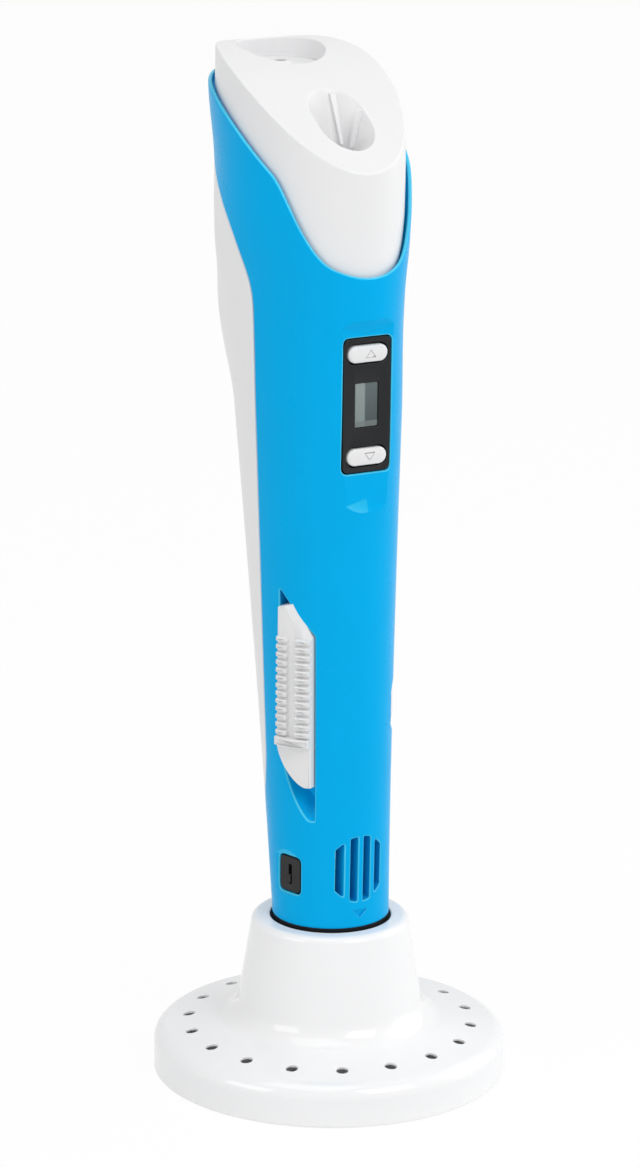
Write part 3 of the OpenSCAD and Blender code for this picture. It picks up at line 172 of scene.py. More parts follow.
# Top and foot of each guide rib in the well, then a rib's width at both and how far it stands out
WELL_RIBS = (((1.56, 5.2, 180.6), (1.88, 2.3, 172.0)), ((5.1, 1.0, 178.0), (3.1, 0.08, 171.7)))
WELL_RIB_W = (1.5, 0.7)
WELL_RIB_OUT = 0.75
WELL_RIB_TAPER = 0.6
POCKET_Y = 21.0
POCKET_R = 8.0
POCKET_WALL = 1.2
POCKET_Z = 184.2
POCKET_ROUND = 0.3
POCKET_BASE = 1.4
INLET_R = 1.1
INLET_ROUND = 0.12
INLET_LIP = 0.25
INLET_ROOM = 2.0
INLET_UNDER = 8.0
BOSS_R = 2.2
BOSS_OUT = 0.3
BOSS_ROUND = 0.2
GROOVE_R = (6.3, 7.6)
GROOVE_DEEP = 0.6

# Display panel
DISP_Z = 127.6
DISP_FLAT = 11.2
DISP_UP = 13.0
DISP_DOWN = 17.0
DISP_FACET = 2.3
DISP_RIDGE = 1.2
# Face of the display cutter that makes the left half of the lower slope, which gets a painted highlight
DISP_LOW_FACET = 1
BEZEL_W = 9.6
BEZEL_H = 24.3
BEZEL_ROUND = 1.2
BEZEL_GAP = 0.15
BEZEL_BACK = 9.6
BEZEL_BEVEL = 0.16
PANEL_ROOM = 0.4
PANEL_ROUND = 0.28
PANEL_STEP = 2.0
SPEED_Z = 9.3
SPEED_W = 7.9
SPEED_H = 3.1
SPEED_FACE = 11.65
SPEED_BACK = 9.3
SPEED_ROUND = 0.45
SPEED_CROWN = 0.1
WINDOW_W = 4.75
WINDOW_H = 8.1
WINDOW_FACE = 10.85
WINDOW_BACK = 9.0
WINDOW_GAP = 0.1
WINDOW_CORNER = 0.25
WINDOW_ROUND = 0.12
# Strip along the display's foot, the line between its painted lighter left and its painted shaded right, and
# how soft both are
LCD_STRIP = 1.15
LCD_SPLIT = -0.3
LCD_STRIP_SOFT = 0.1
LCD_SPLIT_SOFT = 0.15
ARROW_X = 0.4
ARROW_W = 2.3
ARROW_H = 1.5
ARROW_LINE = 0.13
ARROW_DEEP = 0.2
ARROW_CORNER = 0.12

# Load and unload buttons, their recesses and the material switch
FEED_ANGLE = math.radians(65)
LOAD_HALF = 3.8
LOAD_SHIFT = -0.35
LOAD_TOP = 93.2
LOAD_SLANT = 85.3
LOAD_LOW = 50.4
LOAD_CURVE = 64.0
LOAD_TIP = 1.0
LOAD_BOW = 1.5
LOAD_BOW_STEPS = 25
LOAD_FLOOR = 9.3
LOAD_DEEP = 7.4
LOAD_SCOOP_TOP = 71.0
LOAD_SCOOP_H = 9.0
LOAD_CORNER = 0.35
LOAD_MOUTH = 0.3
LOAD_STEP = 0.8
# Share of the way from the recess's outline to the button's opening at each depth of the scooped floor
LOAD_SLOPE = ((0.2, LOAD_FLOOR), (0.5, LOAD_DEEP))
TUB_WALL = 1.0
LOAD_FACE = 12.4
LOAD_CROWN = 9.0
LOAD_PEAK = -1.3
LOAD_BACK = 8.0
LOAD_END = 56.8
LOAD_LEFT = 90.0
LOAD_KNEE = (-0.35, 90.9)
LOAD_BEVEL = ((-2.46, 90.3), (2.75, 84.3))
LOAD_BEVEL_FOOT = 10.9
LOAD_BEVEL_REACH = 15.0
LOAD_ROUND = 0.3
BUTTON_STEP = 0.35
LOAD_RIGHT = 85.0
BUTTON_GAP = 0.3
HOLE_GAP = 0.24
HOLE_ROUND = 0.05
RIDGE_Z = 65.2
RIDGE_H = 1.6
RIDGE_OUT = 0.9
RIB_FIRST = 1.6
RIB_PITCH = 1.45
RIB_W = 0.9
RIB_OUT = 0.55
RIB_COUNT = 13
RIB_BACK = 10.0
RIB_CORNER = 0.25
RIB_ROUND = 0.28
RIB_STEP = 0.3
SPINE_LEFT = -1.4
SPINE_RIGHT = 0.35
RIB_INSET = 0.03
UNLOAD_Z = 70.0
UNLOAD_W = 3.4
UNLOAD_H = 7.0
SCOOP_W = 8.6
SCOOP_H = 9.8
SCOOP_ROUND = 0.4
SCOOP_STEP = 0.6
UNLOAD_FLOOR = 10.3
UNLOAD_FACE = 10.95
UNLOAD_BACK = 8.4
UNLOAD_ROUND = 0.5
UNLOAD_CROWN = 0.25
UNLOAD_HOLE_ROUND = 0.08
UNLOAD_ROOM = 4.0
MAT_ANGLE = math.radians(-76)
MAT_Z = 39.3
MAT_W = 5.2
MAT_H = 6.6
MAT_FLAT = 10.35
MAT_BACK = 8.2
MAT_UP = 3.2
# Face of the switch cutter that makes the slope above the switch, which gets a painted highlight
MAT_UP_FACET = 1
MAT_DOWN = 0.85
MAT_SCOOP_W = 12.0
MAT_SCOOP_REACH = 6.0
MAT_ROOM = 1.0
MAT_MOUTH = 0.28
MAT_ROUND = 0.2
MAT_STEP = 1.0
MAT_CORNER = 1.1
MAT_FACE = 10.3
SLOT_W = 0.8
SLOT_H = 3.8
SLOT_DEEP = 1.0
SLOT_CORNER = 0.2
SLOT_ROUND = 0.08
KNOB_W = 0.5
KNOB_H = 1.6
KNOB_OUT = 0.2
KNOB_CORNER = 0.15
KNOB_ROUND = 0.12
RING_BEVEL = 0.2

# Vents and the mark under them
VENT_PITCH = 2.6
VENT_W = 1.5
VENT_Z = 41.2
VENT_HALF_H = 6.3
VENT_HALF_W = 5.9
VENT_BACK = 7.2
VENT_COUNT = 4
VENT_ROOM = 1.0
VENT_CORNER = 0.35
VENT_ROUND = 0.22
VENT_STEP = 0.8
FIN_MARGIN = 0.8
FIN_COLUMNS = 48
MARK_Z = 32.6
MARK_SIZE = 1.5
MARK_DEPTH = 0.4
MARK_CORNER = 0.1
MARK_ROUND = 0.06

# Shell screws seen in the rear cover
SCREW_X = 4.5
SCREW_Z = 95.5
SCREW_SEAT = 17.3
SCREW_HEAD_H = 1.4
SCREW_HOLE_R = 1.75
CROSS_LONG = 1.9
CROSS_WIDE = 0.45
CROSS_DEEP = 0.8
CROSS_CORNER = 0.08
SCREW_BEVEL = 0.12

# Stand
STAND_R = 32.5
STAND_EDGE_Z = 8.0
STAND_EDGE_ROUND = 3.0
STAND_RISE = 1.6
STAND_FILLET = 5.0
STAND_WALL = 2.2
STAND_TILT = 10.0
STAND_CORNER = 1.0
STAND_FOOT_ROUND = 0.4
STAND_COLUMNS = 216
COLLAR_TILT = 6.0
COLLAR_FOOT_R = 16.8
COLLAR_TOP_R = 14.6
COLLAR_Z = 29.5
COLLAR_ROUND = 1.4
MOUTH_ROUND = 0.35
SOCKET_R = 11.1
SEAT_Z = 20.0
SEAT_HOLE_R = 7.0
HOLDER_R = 1.1
HOLDER_CIRCLE = 26.15
HOLDER_COUNT = 18
HOLDER_PHASE = 5.3
HOLDER_ROUND = 0.2
HOLDER_PLATE = 0.5
HOLDER_ROOM = 1.2


def smooth(t):
    t = np.clip(t, 0.0, 1.0)
    return t * t * (3.0 - 2.0 * t)


def rise(z):
    return (z - BODY_Z) / (SHOULDER_Z - BODY_Z)


def half_width(z):
    flare = TOP_FLARE * smooth((z - FLARE_Z) / FLARE_H)
    return NOSE_R + (SHOULDER_HALF - NOSE_R) * np.clip(rise(z), 0.0, 1.0) ** WIDTH_POWER + flare


def front_depth(z):
    return NOSE_R + FRONT_SWELL * rise(z)


def rear_depth(z):
    low = NOSE_R + REAR_SLOPE * (z - BODY_Z)
    top = HUMP_REAR + HUMP_SLOPE * (z - HUMP_Z - HUMP_RISE)
    flare = REAR_FLARE * smooth((z - REAR_FLARE_Z) / REAR_FLARE_H)
    return low + (top - low) * smooth((z - HUMP_Z) / HUMP_RISE) + flare


def section(z):
    """Half width, centre and half depth of the body's oval at a height."""
    front, rear = front_depth(z), rear_depth(z)
    return half_width(z), (rear - front) / 2, (rear + front) / 2


def skin(t, z, inset=0.0):
    """Point on the body's skin, or inside it by an inset; t is 0 at the front."""
    a, mid, b = section(z)
    return np.stack(np.broadcast_arrays((a - inset) * np.sin(t), mid - (b - inset) * np.cos(t), z), -1)


def part_line(z):
    above = np.maximum(z - PART_TOP_Z, 0.0)
    below = np.maximum(PART_LOW_Z - z, 0.0)
    return PART_Y + PART_TOP_BEND * above**2 + PART_LOW_BEND * below**2


def part_slope(z):
    above = np.maximum(z - PART_TOP_Z, 0)
    below = np.maximum(PART_LOW_Z - z, 0)
    return 2 * PART_TOP_BEND * above - 2 * PART_LOW_BEND * below


def rim_line(y):
    drop = RIM_DROP * smooth((RIM_DROP_Y - y) / RIM_DROP_LEN)
    return RIM_Z + RIM_SLOPE * y - RIM_BEND * np.maximum(y, 0.0) ** 2 - drop


def cap_line(y):
    return CAP_Z + CAP_SLOPE * y - CAP_BEND * y**2 - CAP_TWIST * y**3


def slope_of(line, y, step=0.05):
    return (line(y + step) - line(y - step)) / (2 * step)


def edge_height(line, t, inset=0.0):
    """Height at which the skin meets a line over the front-to-rear direction."""
    z = np.full(np.shape(t), RIM_Z)
    for _ in range(SEARCH_ROUNDS):
        z = line(skin(t, z, inset)[..., 1])
    return z


def rounding(distance, radius):
    """How far a rounded edge falls back at a distance from it."""
    d = np.clip(distance, 0.0, radius)
    return radius - np.sqrt(np.maximum(radius**2 - (radius - d) ** 2, 0.0))


def rounded_edge(radius, steps=5):
    """Inset and depth of each step over a rounded edge, from its side to its face."""
    turns = np.radians(np.linspace(0, 90, steps))
    return [(radius * (1 - math.cos(turn)), radius * (1 - math.sin(turn))) for turn in turns]


def level_ring(outline, z):
    """Outline seen from above, at a height or at a height for each point."""
    return np.column_stack([outline, np.broadcast_to(z, len(outline))])


def skin_distance(angle, u, z):
    """Distance of the skin from the axis on a face turned by an angle, u to its right."""
    a, mid, b = section(z)
    s, c = math.sin(angle), math.cos(angle)
    square = (s / a) ** 2 + (c / b) ** 2
    half = s * c * u / a**2 - c * (s * u - mid) / b**2
    rest = (c * u / a) ** 2 + ((s * u - mid) / b) ** 2 - 1
    return (np.sqrt(half**2 - square * rest) - half) / square


def side_point(angle, outline, distance):
    """Points of an outline drawn on a face turned by an angle, at a distance from the axis."""
    s, c = math.sin(angle), math.cos(angle)
    u, z = outline[:, 0], outline[:, 1]
    return np.stack(np.broadcast_arrays(s * distance + c * u, s * u - c * distance, z), -1)


def make_object(name, points, faces, marks=None):
    """Mesh object from points in millimetres, doubled points joined; marks give the kind of some faces."""
    mesh = bpy.data.meshes.new(name)
    mesh.from_pydata((np.asarray(points, float).reshape(-1, 3) * MM).tolist(), [], faces)
    for _ in (PLAIN, EDGE, FACET):
        mesh.materials.append(None)
    for face, kind in (marks or {}).items():
        mesh.polygons[face].material_index = kind
    bm = bmesh.new()
    bm.from_mesh(mesh)
    bmesh.ops.remove_doubles(bm, verts=bm.verts, dist=JOIN)
    bmesh.ops.dissolve_degenerate(bm, dist=JOIN, edges=bm.edges)
    bmesh.ops.recalc_face_normals(bm, faces=bm.faces)
    bm.to_mesh(mesh)
    bm.free()
    obj = bpy.data.objects.new(name, mesh)
    bpy.context.scene.collection.objects.link(obj)
    return obj


def ring_faces(rows, count):
    """Quads between rows of closed rings."""
    index = np.arange(rows * count).reshape(rows, count)
    ahead = np.roll(index, -1, axis=1)
    return np.stack([index[:-1], ahead[:-1], ahead[1:], index[1:]], -1).reshape(-1, 4).tolist()


def grid_faces(index):
    """Quads of an open grid of point numbers."""
    quads = np.stack([index[:-1, :-1], index[:-1, 1:], index[1:, 1:], index[1:, :-1]], -1)
    return quads.reshape(-1, 4).tolist()


def loft(name, rings, edge_rows=0, marks=None):
    """Solid through rings, its ends filled; its first rows are marked as an edge, or some faces by number."""
    rings = np.asarray(rings, float)
    rows, count = rings.shape[:2]
    ends = [list(range(count))[::-1], list(range((rows - 1) * count, rows * count))]
    # Faces marked as an edge take a painted highlight on pieces that are given one
    marks = marks or dict.fromkeys(range(edge_rows * count), EDGE)
    return make_object(name, rings, ring_faces(rows, count) + ends, marks)


def combine(obj, tool, operation="DIFFERENCE"):
    """Cuts or joins a solid with another one, which is used up."""
    cut = obj.modifiers.new("combine", "BOOLEAN")
    cut.operation = operation
    cut.solver = "MANIFOLD"
    cut.object = tool
    graph = bpy.context.evaluated_depsgraph_get()
    result = bpy.data.meshes.new_from_object(obj.evaluated_get(graph))
    obj.modifiers.clear()
    spent = [obj.data, tool.data]
    obj.data = result
    bpy.data.objects.remove(tool)
    for mesh in spent:
        bpy.data.meshes.remove(mesh)


def counter_clockwise(outline):
    outline = np.asarray(outline, float)
    after = np.roll(outline, -1, 0)
    area = np.sum(outline[:, 0] * after[:, 1] - after[:, 0] * outline[:, 1])
    return outline if area > 0 else outline[::-1]


def round_corners(corners, radius, steps=6):
    """Closed outline with each corner rounded."""
    corners = counter_clockwise(corners)
    points = []
    for before, corner, after in zip(np.roll(corners, 1, 0), corners, np.roll(corners, -1, 0)):
        back, ahead = before - corner, after - corner
        long_back, long_ahead = np.linalg.norm(back), np.linalg.norm(ahead)
        back, ahead = back / long_back, ahead / long_ahead
        half = np.clip(math.acos(np.clip(back @ ahead, -1, 1)) / 2, *CORNER_ANGLES)
        reach = min(radius / math.tan(half), CORNER_REACH * long_back, CORNER_REACH * long_ahead)
        for t in np.linspace(0, 1, steps + 1):
            points.append(corner + back * reach * (1 - t) ** 2 + ahead * reach * t**2)
    return np.array(points)


def dense(outline, step):
    """The same outline with long edges divided."""
    points = []
    for start, end in zip(outline, np.roll(outline, -1, 0)):
        parts = max(int(math.ceil(np.linalg.norm(end - start) / step)), 1)
        points += [start + (end - start) * k / parts for k in range(parts)]
    return np.array(points)


def grown(outline, amount):
    """Closed outline pushed outward by an amount."""
    into = outline - np.roll(outline, 1, 0)
    out = np.roll(outline, -1, 0) - outline
    into = into / np.maximum(np.linalg.norm(into, axis=1), 1e-9)[:, None]
    out = out / np.maximum(np.linalg.norm(out, axis=1), 1e-9)[:, None]
    first = np.stack([into[:, 1], -into[:, 0]], -1)
    second = np.stack([out[:, 1], -out[:, 0]], -1)
    share = np.maximum(1 + np.sum(first * second, axis=1), MITRE)
    return outline + amount * (first + second) / share[:, None]


def rounded_box(w, h, radius):
    corners = [(-w / 2, -h / 2), (w / 2, -h / 2), (w / 2, h / 2), (-w / 2, h / 2)]
    return round_corners(corners, radius)


def stadium(w, h, steps=24):
    """Outline of a bar with round ends."""
    r = min(w, h) / 2
    turns = (np.arange(2 * steps) + 0.5) * math.pi / steps
    x, y = r * np.cos(turns), r * np.sin(turns)
    return np.stack([x + np.sign(x) * (w / 2 - r), y + np.sign(y) * (h / 2 - r)], -1)


def circle(count):
    """Points round a circle of radius one."""
    turns = np.linspace(0, 2 * math.pi, count, endpoint=False)
    return np.column_stack([np.cos(turns), np.sin(turns)])


def mouth(edge):
    """Growth and depth of a cutter's rings at an opening: clear of the face, then over its rounded edge."""
    turns = np.radians(np.linspace(MOUTH_START, 90, MOUTH_ROWS))
    rounded = [(edge * (1 - math.sin(turn)), edge * (1 - math.cos(turn))) for turn in turns]
    return [(rounded[0][0], -CLEAR), *rounded]


def mouth_rings(angle, outline, edge, face=None):
    """Rings of a cutter for an opening in the skin, or in a flat face."""
    rings = []
    for growth, depth in mouth(edge):
        ring = grown(outline, growth)
        top = skin_distance(angle, ring[:, 0], ring[:, 1])
        if face is not None:
            top = np.minimum(top, face)
        rings.append(side_point(angle, ring, top - depth))
    return rings


def pocket(angle, outline, floor, edge, face=None):
    """Cutter for a recess with a flat floor and a rounded edge round its mouth."""
    rings = mouth_rings(angle, outline, edge, face)
    return loft("cutter", [*rings, side_point(angle, outline, floor)], MOUTH_ROWS)


def upright(outline, low, edge, foot=1.0, under=0.0):
    """Cutter for a well down through the cap's top; its foot may be narrower and go on below."""
    rings = []
    for growth, depth in mouth(edge):
        ring = grown(outline, growth)
        rings.append(level_ring(ring, cap_line(ring[:, 1]) - depth))
    middle = outline.mean(0)
    narrow = middle + (outline - middle) * foot
    depths = [low, low - under] if under > 0 else [low]
    rings += [level_ring(narrow, depth) for depth in depths]
    return loft("cutter", rings)


def dress(obj, body, slot, *replaced, more=()):
    """Gives a finished piece its shading, its slot's material, more materials by name, and its place."""
    mesh = obj.data
    marks = np.zeros(len(mesh.polygons), dtype=np.int32)
    if more:
        mesh.polygons.foreach_get("material_index", marks)
    mesh.materials.clear()
    for name in (slot, *more):
        mesh.materials.append(materials[name])
    mesh.polygons.foreach_set("material_index", marks)
    mesh.polygons.foreach_set("use_smooth", [True] * len(mesh.polygons))
    mesh.set_sharp_from_angle(angle=math.radians(SHARP_ANGLE))
    even = obj.modifiers.new("even", "WEIGHTED_NORMAL")
    even.keep_sharp = True
    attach(obj, body)
    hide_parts(*replaced)
    return obj


# Materials

# Noise features per metre, and the height of the moulded grain in metres
MOTTLE_SCALE = 70.0
GLOSS_SCALE = 160.0
HAZE_SCALE = 300.0
GRAIN_HEIGHT = 0.00005
# Least and most cover of the haze on the window
HAZE = (0.10, 0.16)
# Pointiness from which an edge is painted paler, partly as wear and partly as a painted highlight, and how
# much paler it gets
WEAR_AND_SHEEN_FROM = (0.53, 0.62)
WEAR_AND_SHEEN_GAIN = 1.15
WEAR_AND_SHEEN_LIFT = 0.05
WEAR_AND_SHEEN_MOST = 0.95
# Display colours at the foot and the top of each side, and of the strip on the left and the right; the
# lighter left, the darker right and the paler top are painted light and shade
LCD_LEFT = ((0.20, 0.25, 0.245), (0.25, 0.30, 0.29))
LCD_RIGHT = ((0.05, 0.07, 0.075), (0.10, 0.128, 0.132))
LCD_FOOT = ((0.16, 0.19, 0.19), (0.13, 0.155, 0.155))


def fill(tree, node, inputs):
    """Sets a node's inputs, each to another node's output, a colour or a number."""
    for name, value in inputs.items():
        if isinstance(value, bpy.types.NodeSocket):
            tree.links.new(value, node.inputs[name])
        elif isinstance(value, tuple):
            node.inputs[name].default_value = (*value, 1.0)
        else:
            node.inputs[name].default_value = value


def add_node(tree, kind, inputs, **settings):
    """New node with its settings and inputs."""
    node = tree.nodes.new("ShaderNode" + kind)
    for name, value in settings.items():
        setattr(node, name, value)
    fill(tree, node, inputs)
    return node


def mix_colours(tree, first, second, share):
    """Colour between two others, each a constant or another node's output."""
    inputs = {"A": first, "B": second, "Factor": share}
    return add_node(tree, "Mix", inputs, data_type="RGBA").outputs["Result"]


def noise(tree, scale, detail):
    """Noise fixed to the object, with a scale in features per metre."""
    where = add_node(tree, "TexCoord", {}).outputs["Object"]
    return add_node(tree, "TexNoise", {"Vector": where, "Scale": scale, "Detail": detail}).outputs["Fac"]


def spread(tree, value, low, high, start=0.3, end=0.7):
    """The value's range from start to end stretched to the range from low to high."""
    inputs = {"Value": value, "From Min": start, "From Max": end, "To Min": low, "To Max": high}
    return add_node(tree, "MapRange", inputs).outputs["Result"]


def finish_material(name, colour, rough, grain, bump, metal=0.0, specular=0.5, shade=0.06, edge_wear_and_sheen=0.12):
    """Procedural plastic or metal: soft mottling, uneven gloss, moulded grain, and convex edges painted paler
    as wear and as a painted highlight.
    """
    material = bpy.data.materials.new(name)
    material.use_nodes = True
    tree = material.node_tree
    dark = tuple(c * (1 - shade) for c in colour)
    pale = tuple(min(c * WEAR_AND_SHEEN_GAIN + WEAR_AND_SHEEN_LIFT, WEAR_AND_SHEEN_MOST) for c in colour)
    pointed = add_node(tree, "NewGeometry", {}).outputs["Pointiness"]
    wear_and_sheen_share = spread(tree, pointed, 0.0, edge_wear_and_sheen, *WEAR_AND_SHEEN_FROM)
    mottled = mix_colours(tree, dark, colour, spread(tree, noise(tree, MOTTLE_SCALE, 4.0), 0.0, 1.0))
    height = noise(tree, grain, 3.0)
    relief = add_node(tree, "Bump", {"Strength": bump, "Distance": GRAIN_HEIGHT, "Height": height})
    fill(tree, tree.nodes["Principled BSDF"], {
        "Metallic": metal, "Specular IOR Level": specular,
        "Base Color": mix_colours(tree, mottled, pale, wear_and_sheen_share),
        "Roughness": spread(tree, noise(tree, GLOSS_SCALE, 5.0), *rough),
        "Normal": relief.outputs["Normal"],
    })
    return material


def lens_material():
    """Clear window with faint haze; what lies behind shows through."""
    material = finish_material("clear_lens", (0.55, 0.58, 0.56), (0.04, 0.10), 900.0, 0.02, edge_wear_and_sheen=0.0)
    tree = material.node_tree
    haze = spread(tree, noise(tree, HAZE_SCALE, 4.0), *HAZE)
    fill(tree, tree.nodes["Principled BSDF"], {"Alpha": haze})
    return material


def lcd_material():
    """Grey-green display with painted light and shade: lighter on its left, painted shade down its right, a
    strip along its foot, lighter towards its top.
    """
    material = finish_material("lcd_grey", (0.30, 0.33, 0.30), (0.10, 0.16), 2500.0, 0.02, edge_wear_and_sheen=0.0)
    tree = material.node_tree
    where = add_node(tree, "TexCoord", {}).outputs["Object"]
    split = add_node(tree, "SeparateXYZ", {"Vector": where})
    strip_z = DISP_Z - WINDOW_H / 2 + LCD_STRIP
    top_z = DISP_Z + WINDOW_H / 2

    def between(axis, start, end):
        return spread(tree, split.outputs[axis], 0.0, 1.0, start * MM, end * MM)

    across = between("X", LCD_SPLIT - LCD_SPLIT_SOFT, LCD_SPLIT + LCD_SPLIT_SOFT)
    upward = between("Z", strip_z - LCD_STRIP_SOFT, strip_z + LCD_STRIP_SOFT)
    fade = between("Z", strip_z - LCD_STRIP_SOFT, top_z)
    body = mix_colours(tree, mix_colours(tree, *LCD_LEFT, fade), mix_colours(tree, *LCD_RIGHT, fade), across)
    strip = mix_colours(tree, *LCD_FOOT, across)
    fill(tree, tree.nodes["Principled BSDF"], {"Base Color": mix_colours(tree, strip, body, upward)})
    return material


# Colour, range of roughness, grain per metre and its strength, and what differs from a plain finish
FINISHES = {
    "stand_white": ((0.93, 0.93, 0.935), (0.05, 0.09), 900.0, 0.006, {"shade": 0.012}),
    "shell_blue": ((0.0, 0.435, 0.86), (0.26, 0.34), 4200.0, 0.05,
                   {"specular": 0.05, "shade": 0.03, "edge_wear_and_sheen": 0.0}),
    "shell_white": ((0.845, 0.845, 0.852), (0.32, 0.42), 1500.0, 0.015, {"shade": 0.012}),
    "button_white": ((0.81, 0.81, 0.815), (0.28, 0.38), 1500.0, 0.015, {"shade": 0.012}),
    "black_plastic": ((0.012, 0.012, 0.014), (0.34, 0.50), 3800.0, 0.14, {"specular": 0.3, "shade": 0.25}),
    "panel_black": ((0.008, 0.009, 0.011), (0.20, 0.30), 3000.0, 0.04, {"specular": 0.28, "shade": 0.2}),
    "board_green": ((0.02, 0.12, 0.045), (0.25, 0.4), 2600.0, 0.1, {"shade": 0.2}),
    "switch_grey": ((0.10, 0.10, 0.11), (0.4, 0.55), 3600.0, 0.1, {"shade": 0.15}),
    "frame_grey": ((0.22, 0.22, 0.23), (0.45, 0.6), 3600.0, 0.12, {"shade": 0.12}),
    "tube_white": ((0.78, 0.78, 0.75), (0.35, 0.5), 2600.0, 0.05, {"shade": 0.05}),
    "steel": ((0.58, 0.58, 0.59), (0.22, 0.36), 5200.0, 0.1, {"metal": 1.0, "shade": 0.12}),
    "brass": ((0.72, 0.53, 0.23), (0.22, 0.36), 5200.0, 0.1, {"metal": 1.0, "shade": 0.15}),
    "aluminium": ((0.68, 0.68, 0.70), (0.25, 0.4), 5200.0, 0.1, {"metal": 1.0, "shade": 0.1}),
    # Near black, darker than these parts are, as painted shade where they show through the vents
    "ceramic": ((0.045, 0.045, 0.048), (0.5, 0.65), 3000.0, 0.15, {"specular": 0.3, "shade": 0.1}),
    # The blue plastic with a painted highlight along its rounded edges, and with a painted highlight on its
    # small slopes
    "edge_painted_highlight_blue": ((0.07, 0.64, 0.94), (0.22, 0.30), 4200.0, 0.05, {"specular": 0.2, "shade": 0.12}),
    "facet_painted_highlight_blue": ((0.015, 0.52, 0.89), (0.20, 0.28), 4200.0, 0.05,
                   {"specular": 0.15, "shade": 0.08, "edge_wear_and_sheen": 0.0}),
}
materials = {name: finish_material(name, *values, **other) for name, (*values, other) in FINISHES.items()}
materials["clear_lens"] = lens_material()
materials["lcd_grey"] = lcd_material()


# Pieces

def opening_angle(share):
    """Angle from the front at which a row of the blue shell meets the parting line, at most half a turn."""
    t = np.linspace(0, math.pi, SEARCH_ANGLES)
    z = SHELL_LOW + (edge_height(rim_line, t) - SHELL_LOW) * share
    past = skin(t, z)[:, 1] - part_line(z)
    over = np.nonzero(past >= 0)[0]
    if len(over) == 0:
        return math.pi
    k = over[0]
    return t[k - 1] + (t[k] - t[k - 1]) * past[k - 1] / (past[k - 1] - past[k])


def tip_heights(gap):
    """Lowest and highest point of the parting line on the rear's middle."""
    z = np.linspace(BODY_Z, BODY_TOP_Z, SEARCH_HEIGHTS)
    inside = z[rear_depth(z) >= part_line(z) + gap]
    return inside[0], inside[-1]


def tip_crowd():
    """Distances from a tip of the parting line at which rows crowd."""
    return TIP_STEP * np.arange(TIP_ROWS) ** 2


def edge_columns(t_max, z, count):
    """Angles across a row, closer together at its ends."""
    a, _, b = section(z)
    speed = math.hypot(a * math.cos(t_max), b * math.sin(t_max))
    ends = t_max - np.array(EDGE_STEPS) / speed
    middle = np.linspace(-ends[-1], ends[-1], count)
    return np.concatenate([-ends[:-1], middle, ends[-2::-1]])


def shell_rows(span):
    """Rows of the blue shell in groups, each row as its share of the height, lift, drop and inset."""
    low, top = [(tip - SHELL_LOW) / span for tip in tip_heights(0.0)]
    crowd = tip_crowd() / span
    shares = np.concatenate([np.linspace(*SHELL_SHARES, SHELL_ROWS), low + crowd, top - crowd])
    shares = np.unique(np.round(shares, 6))
    squeezed = np.where(shares <= top, shares, top + (shares - top) * INNER_SQUEEZE)
    foot = [(0.0, lift, 0.0, None) for lift in FOOT_STEPS]
    outside = [(share, 0.0, 0.0, None) for share in shares]
    rim = [(1.0, 0.0, drop, None) for drop in RIM_STEPS]
    inner = RIM_WALL - RIM_INNER_ROUND
    lip = [(1.0, 0.0, drop, inner + RIM_INNER_ROUND * turn) for drop, turn in RIM_INNER_STEPS]
    lip += [(1.0, 0.0, RIM_LIP, inset) for inset in (RIM_WALL, WALL)]
    inside = [(share, 0.0, 0.0, WALL) for share in (*squeezed[::-1], 0.0)]
    return foot, outside, rim, lip, inside


def shell_row(span, share, lift, drop, inset):
    """Points across a row of the blue shell, and the angle where it ends; no inset means the rounded skin."""
    end = opening_angle(share) if 0.0 < share < 1.0 else math.pi
    t = edge_columns(end, SHELL_LOW + span * share, SHELL_COLUMNS)
    top = edge_height(rim_line, t)
    slant = np.sqrt(1 + slope_of(rim_line, skin(t, top)[:, 1]) ** 2)
    z = SHELL_LOW + lift + (top - SHELL_LOW) * share - drop * slant
    if inset is None:
        y = skin(t, z)[:, 1]
        inset = rounding((part_line(z) - y) / np.sqrt(1 + part_slope(z) ** 2), PART_ROUND)
        inset = inset + rounding((rim_line(y) - z) / np.sqrt(1 + slope_of(rim_line, y) ** 2), RIM_ROUND)
        inset = inset + rounding(z - SHELL_LOW, LOW_ROUND)
    return skin(t, z, inset), end


def front_shell():
    """Blue shell: skin, rounded rim, lip and inside, then the display flat, recesses and vents cut in."""
    span = float(edge_height(rim_line, np.array([math.pi]))[0]) - SHELL_LOW
    foot, outside, rim, lip, inside = shell_rows(span)
    made = [shell_row(span, *row) for row in foot + outside + rim + lip + inside]
    points = np.array([row for row, _ in made])
    index = np.arange(points[..., 0].size).reshape(points.shape[:2])
    faces = grid_faces(np.vstack([index, index[:1]]))
    first, count = len(foot), len(outside)
    back = first + count + len(rim) + len(lip)
    for j in range(count - 1):
        near, far = first + j, back + count - 1 - j
        if min(made[near][1], made[near + 1][1]) < math.pi:
            for column in (0, -1):
                faces.append([int(index[row, column]) for row in (near, near + 1, far - 1, far)])
    columns = points.shape[1] - 1
    # Rows of the rim's rounding take the paler blue of a painted highlight
    start, end = [(first + count + row) * columns for row in PAINTED_HIGHLIGHT_ROWS]
    shell = make_object("front_shell_skin", points, faces, dict.fromkeys(range(start, end), EDGE))
    cut_load_recess(shell)
    cut_display(shell)
    cut_unload_scoop(shell)
    cut_switch(shell)
    cut_vents(shell)
    cut_mark(shell)
    # Rounded edges and marked slopes take the paler blues of a painted highlight
    return dress(shell, "pen", "shell_blue", "front_shell", more=("edge_painted_highlight_blue", "facet_painted_highlight_blue"))


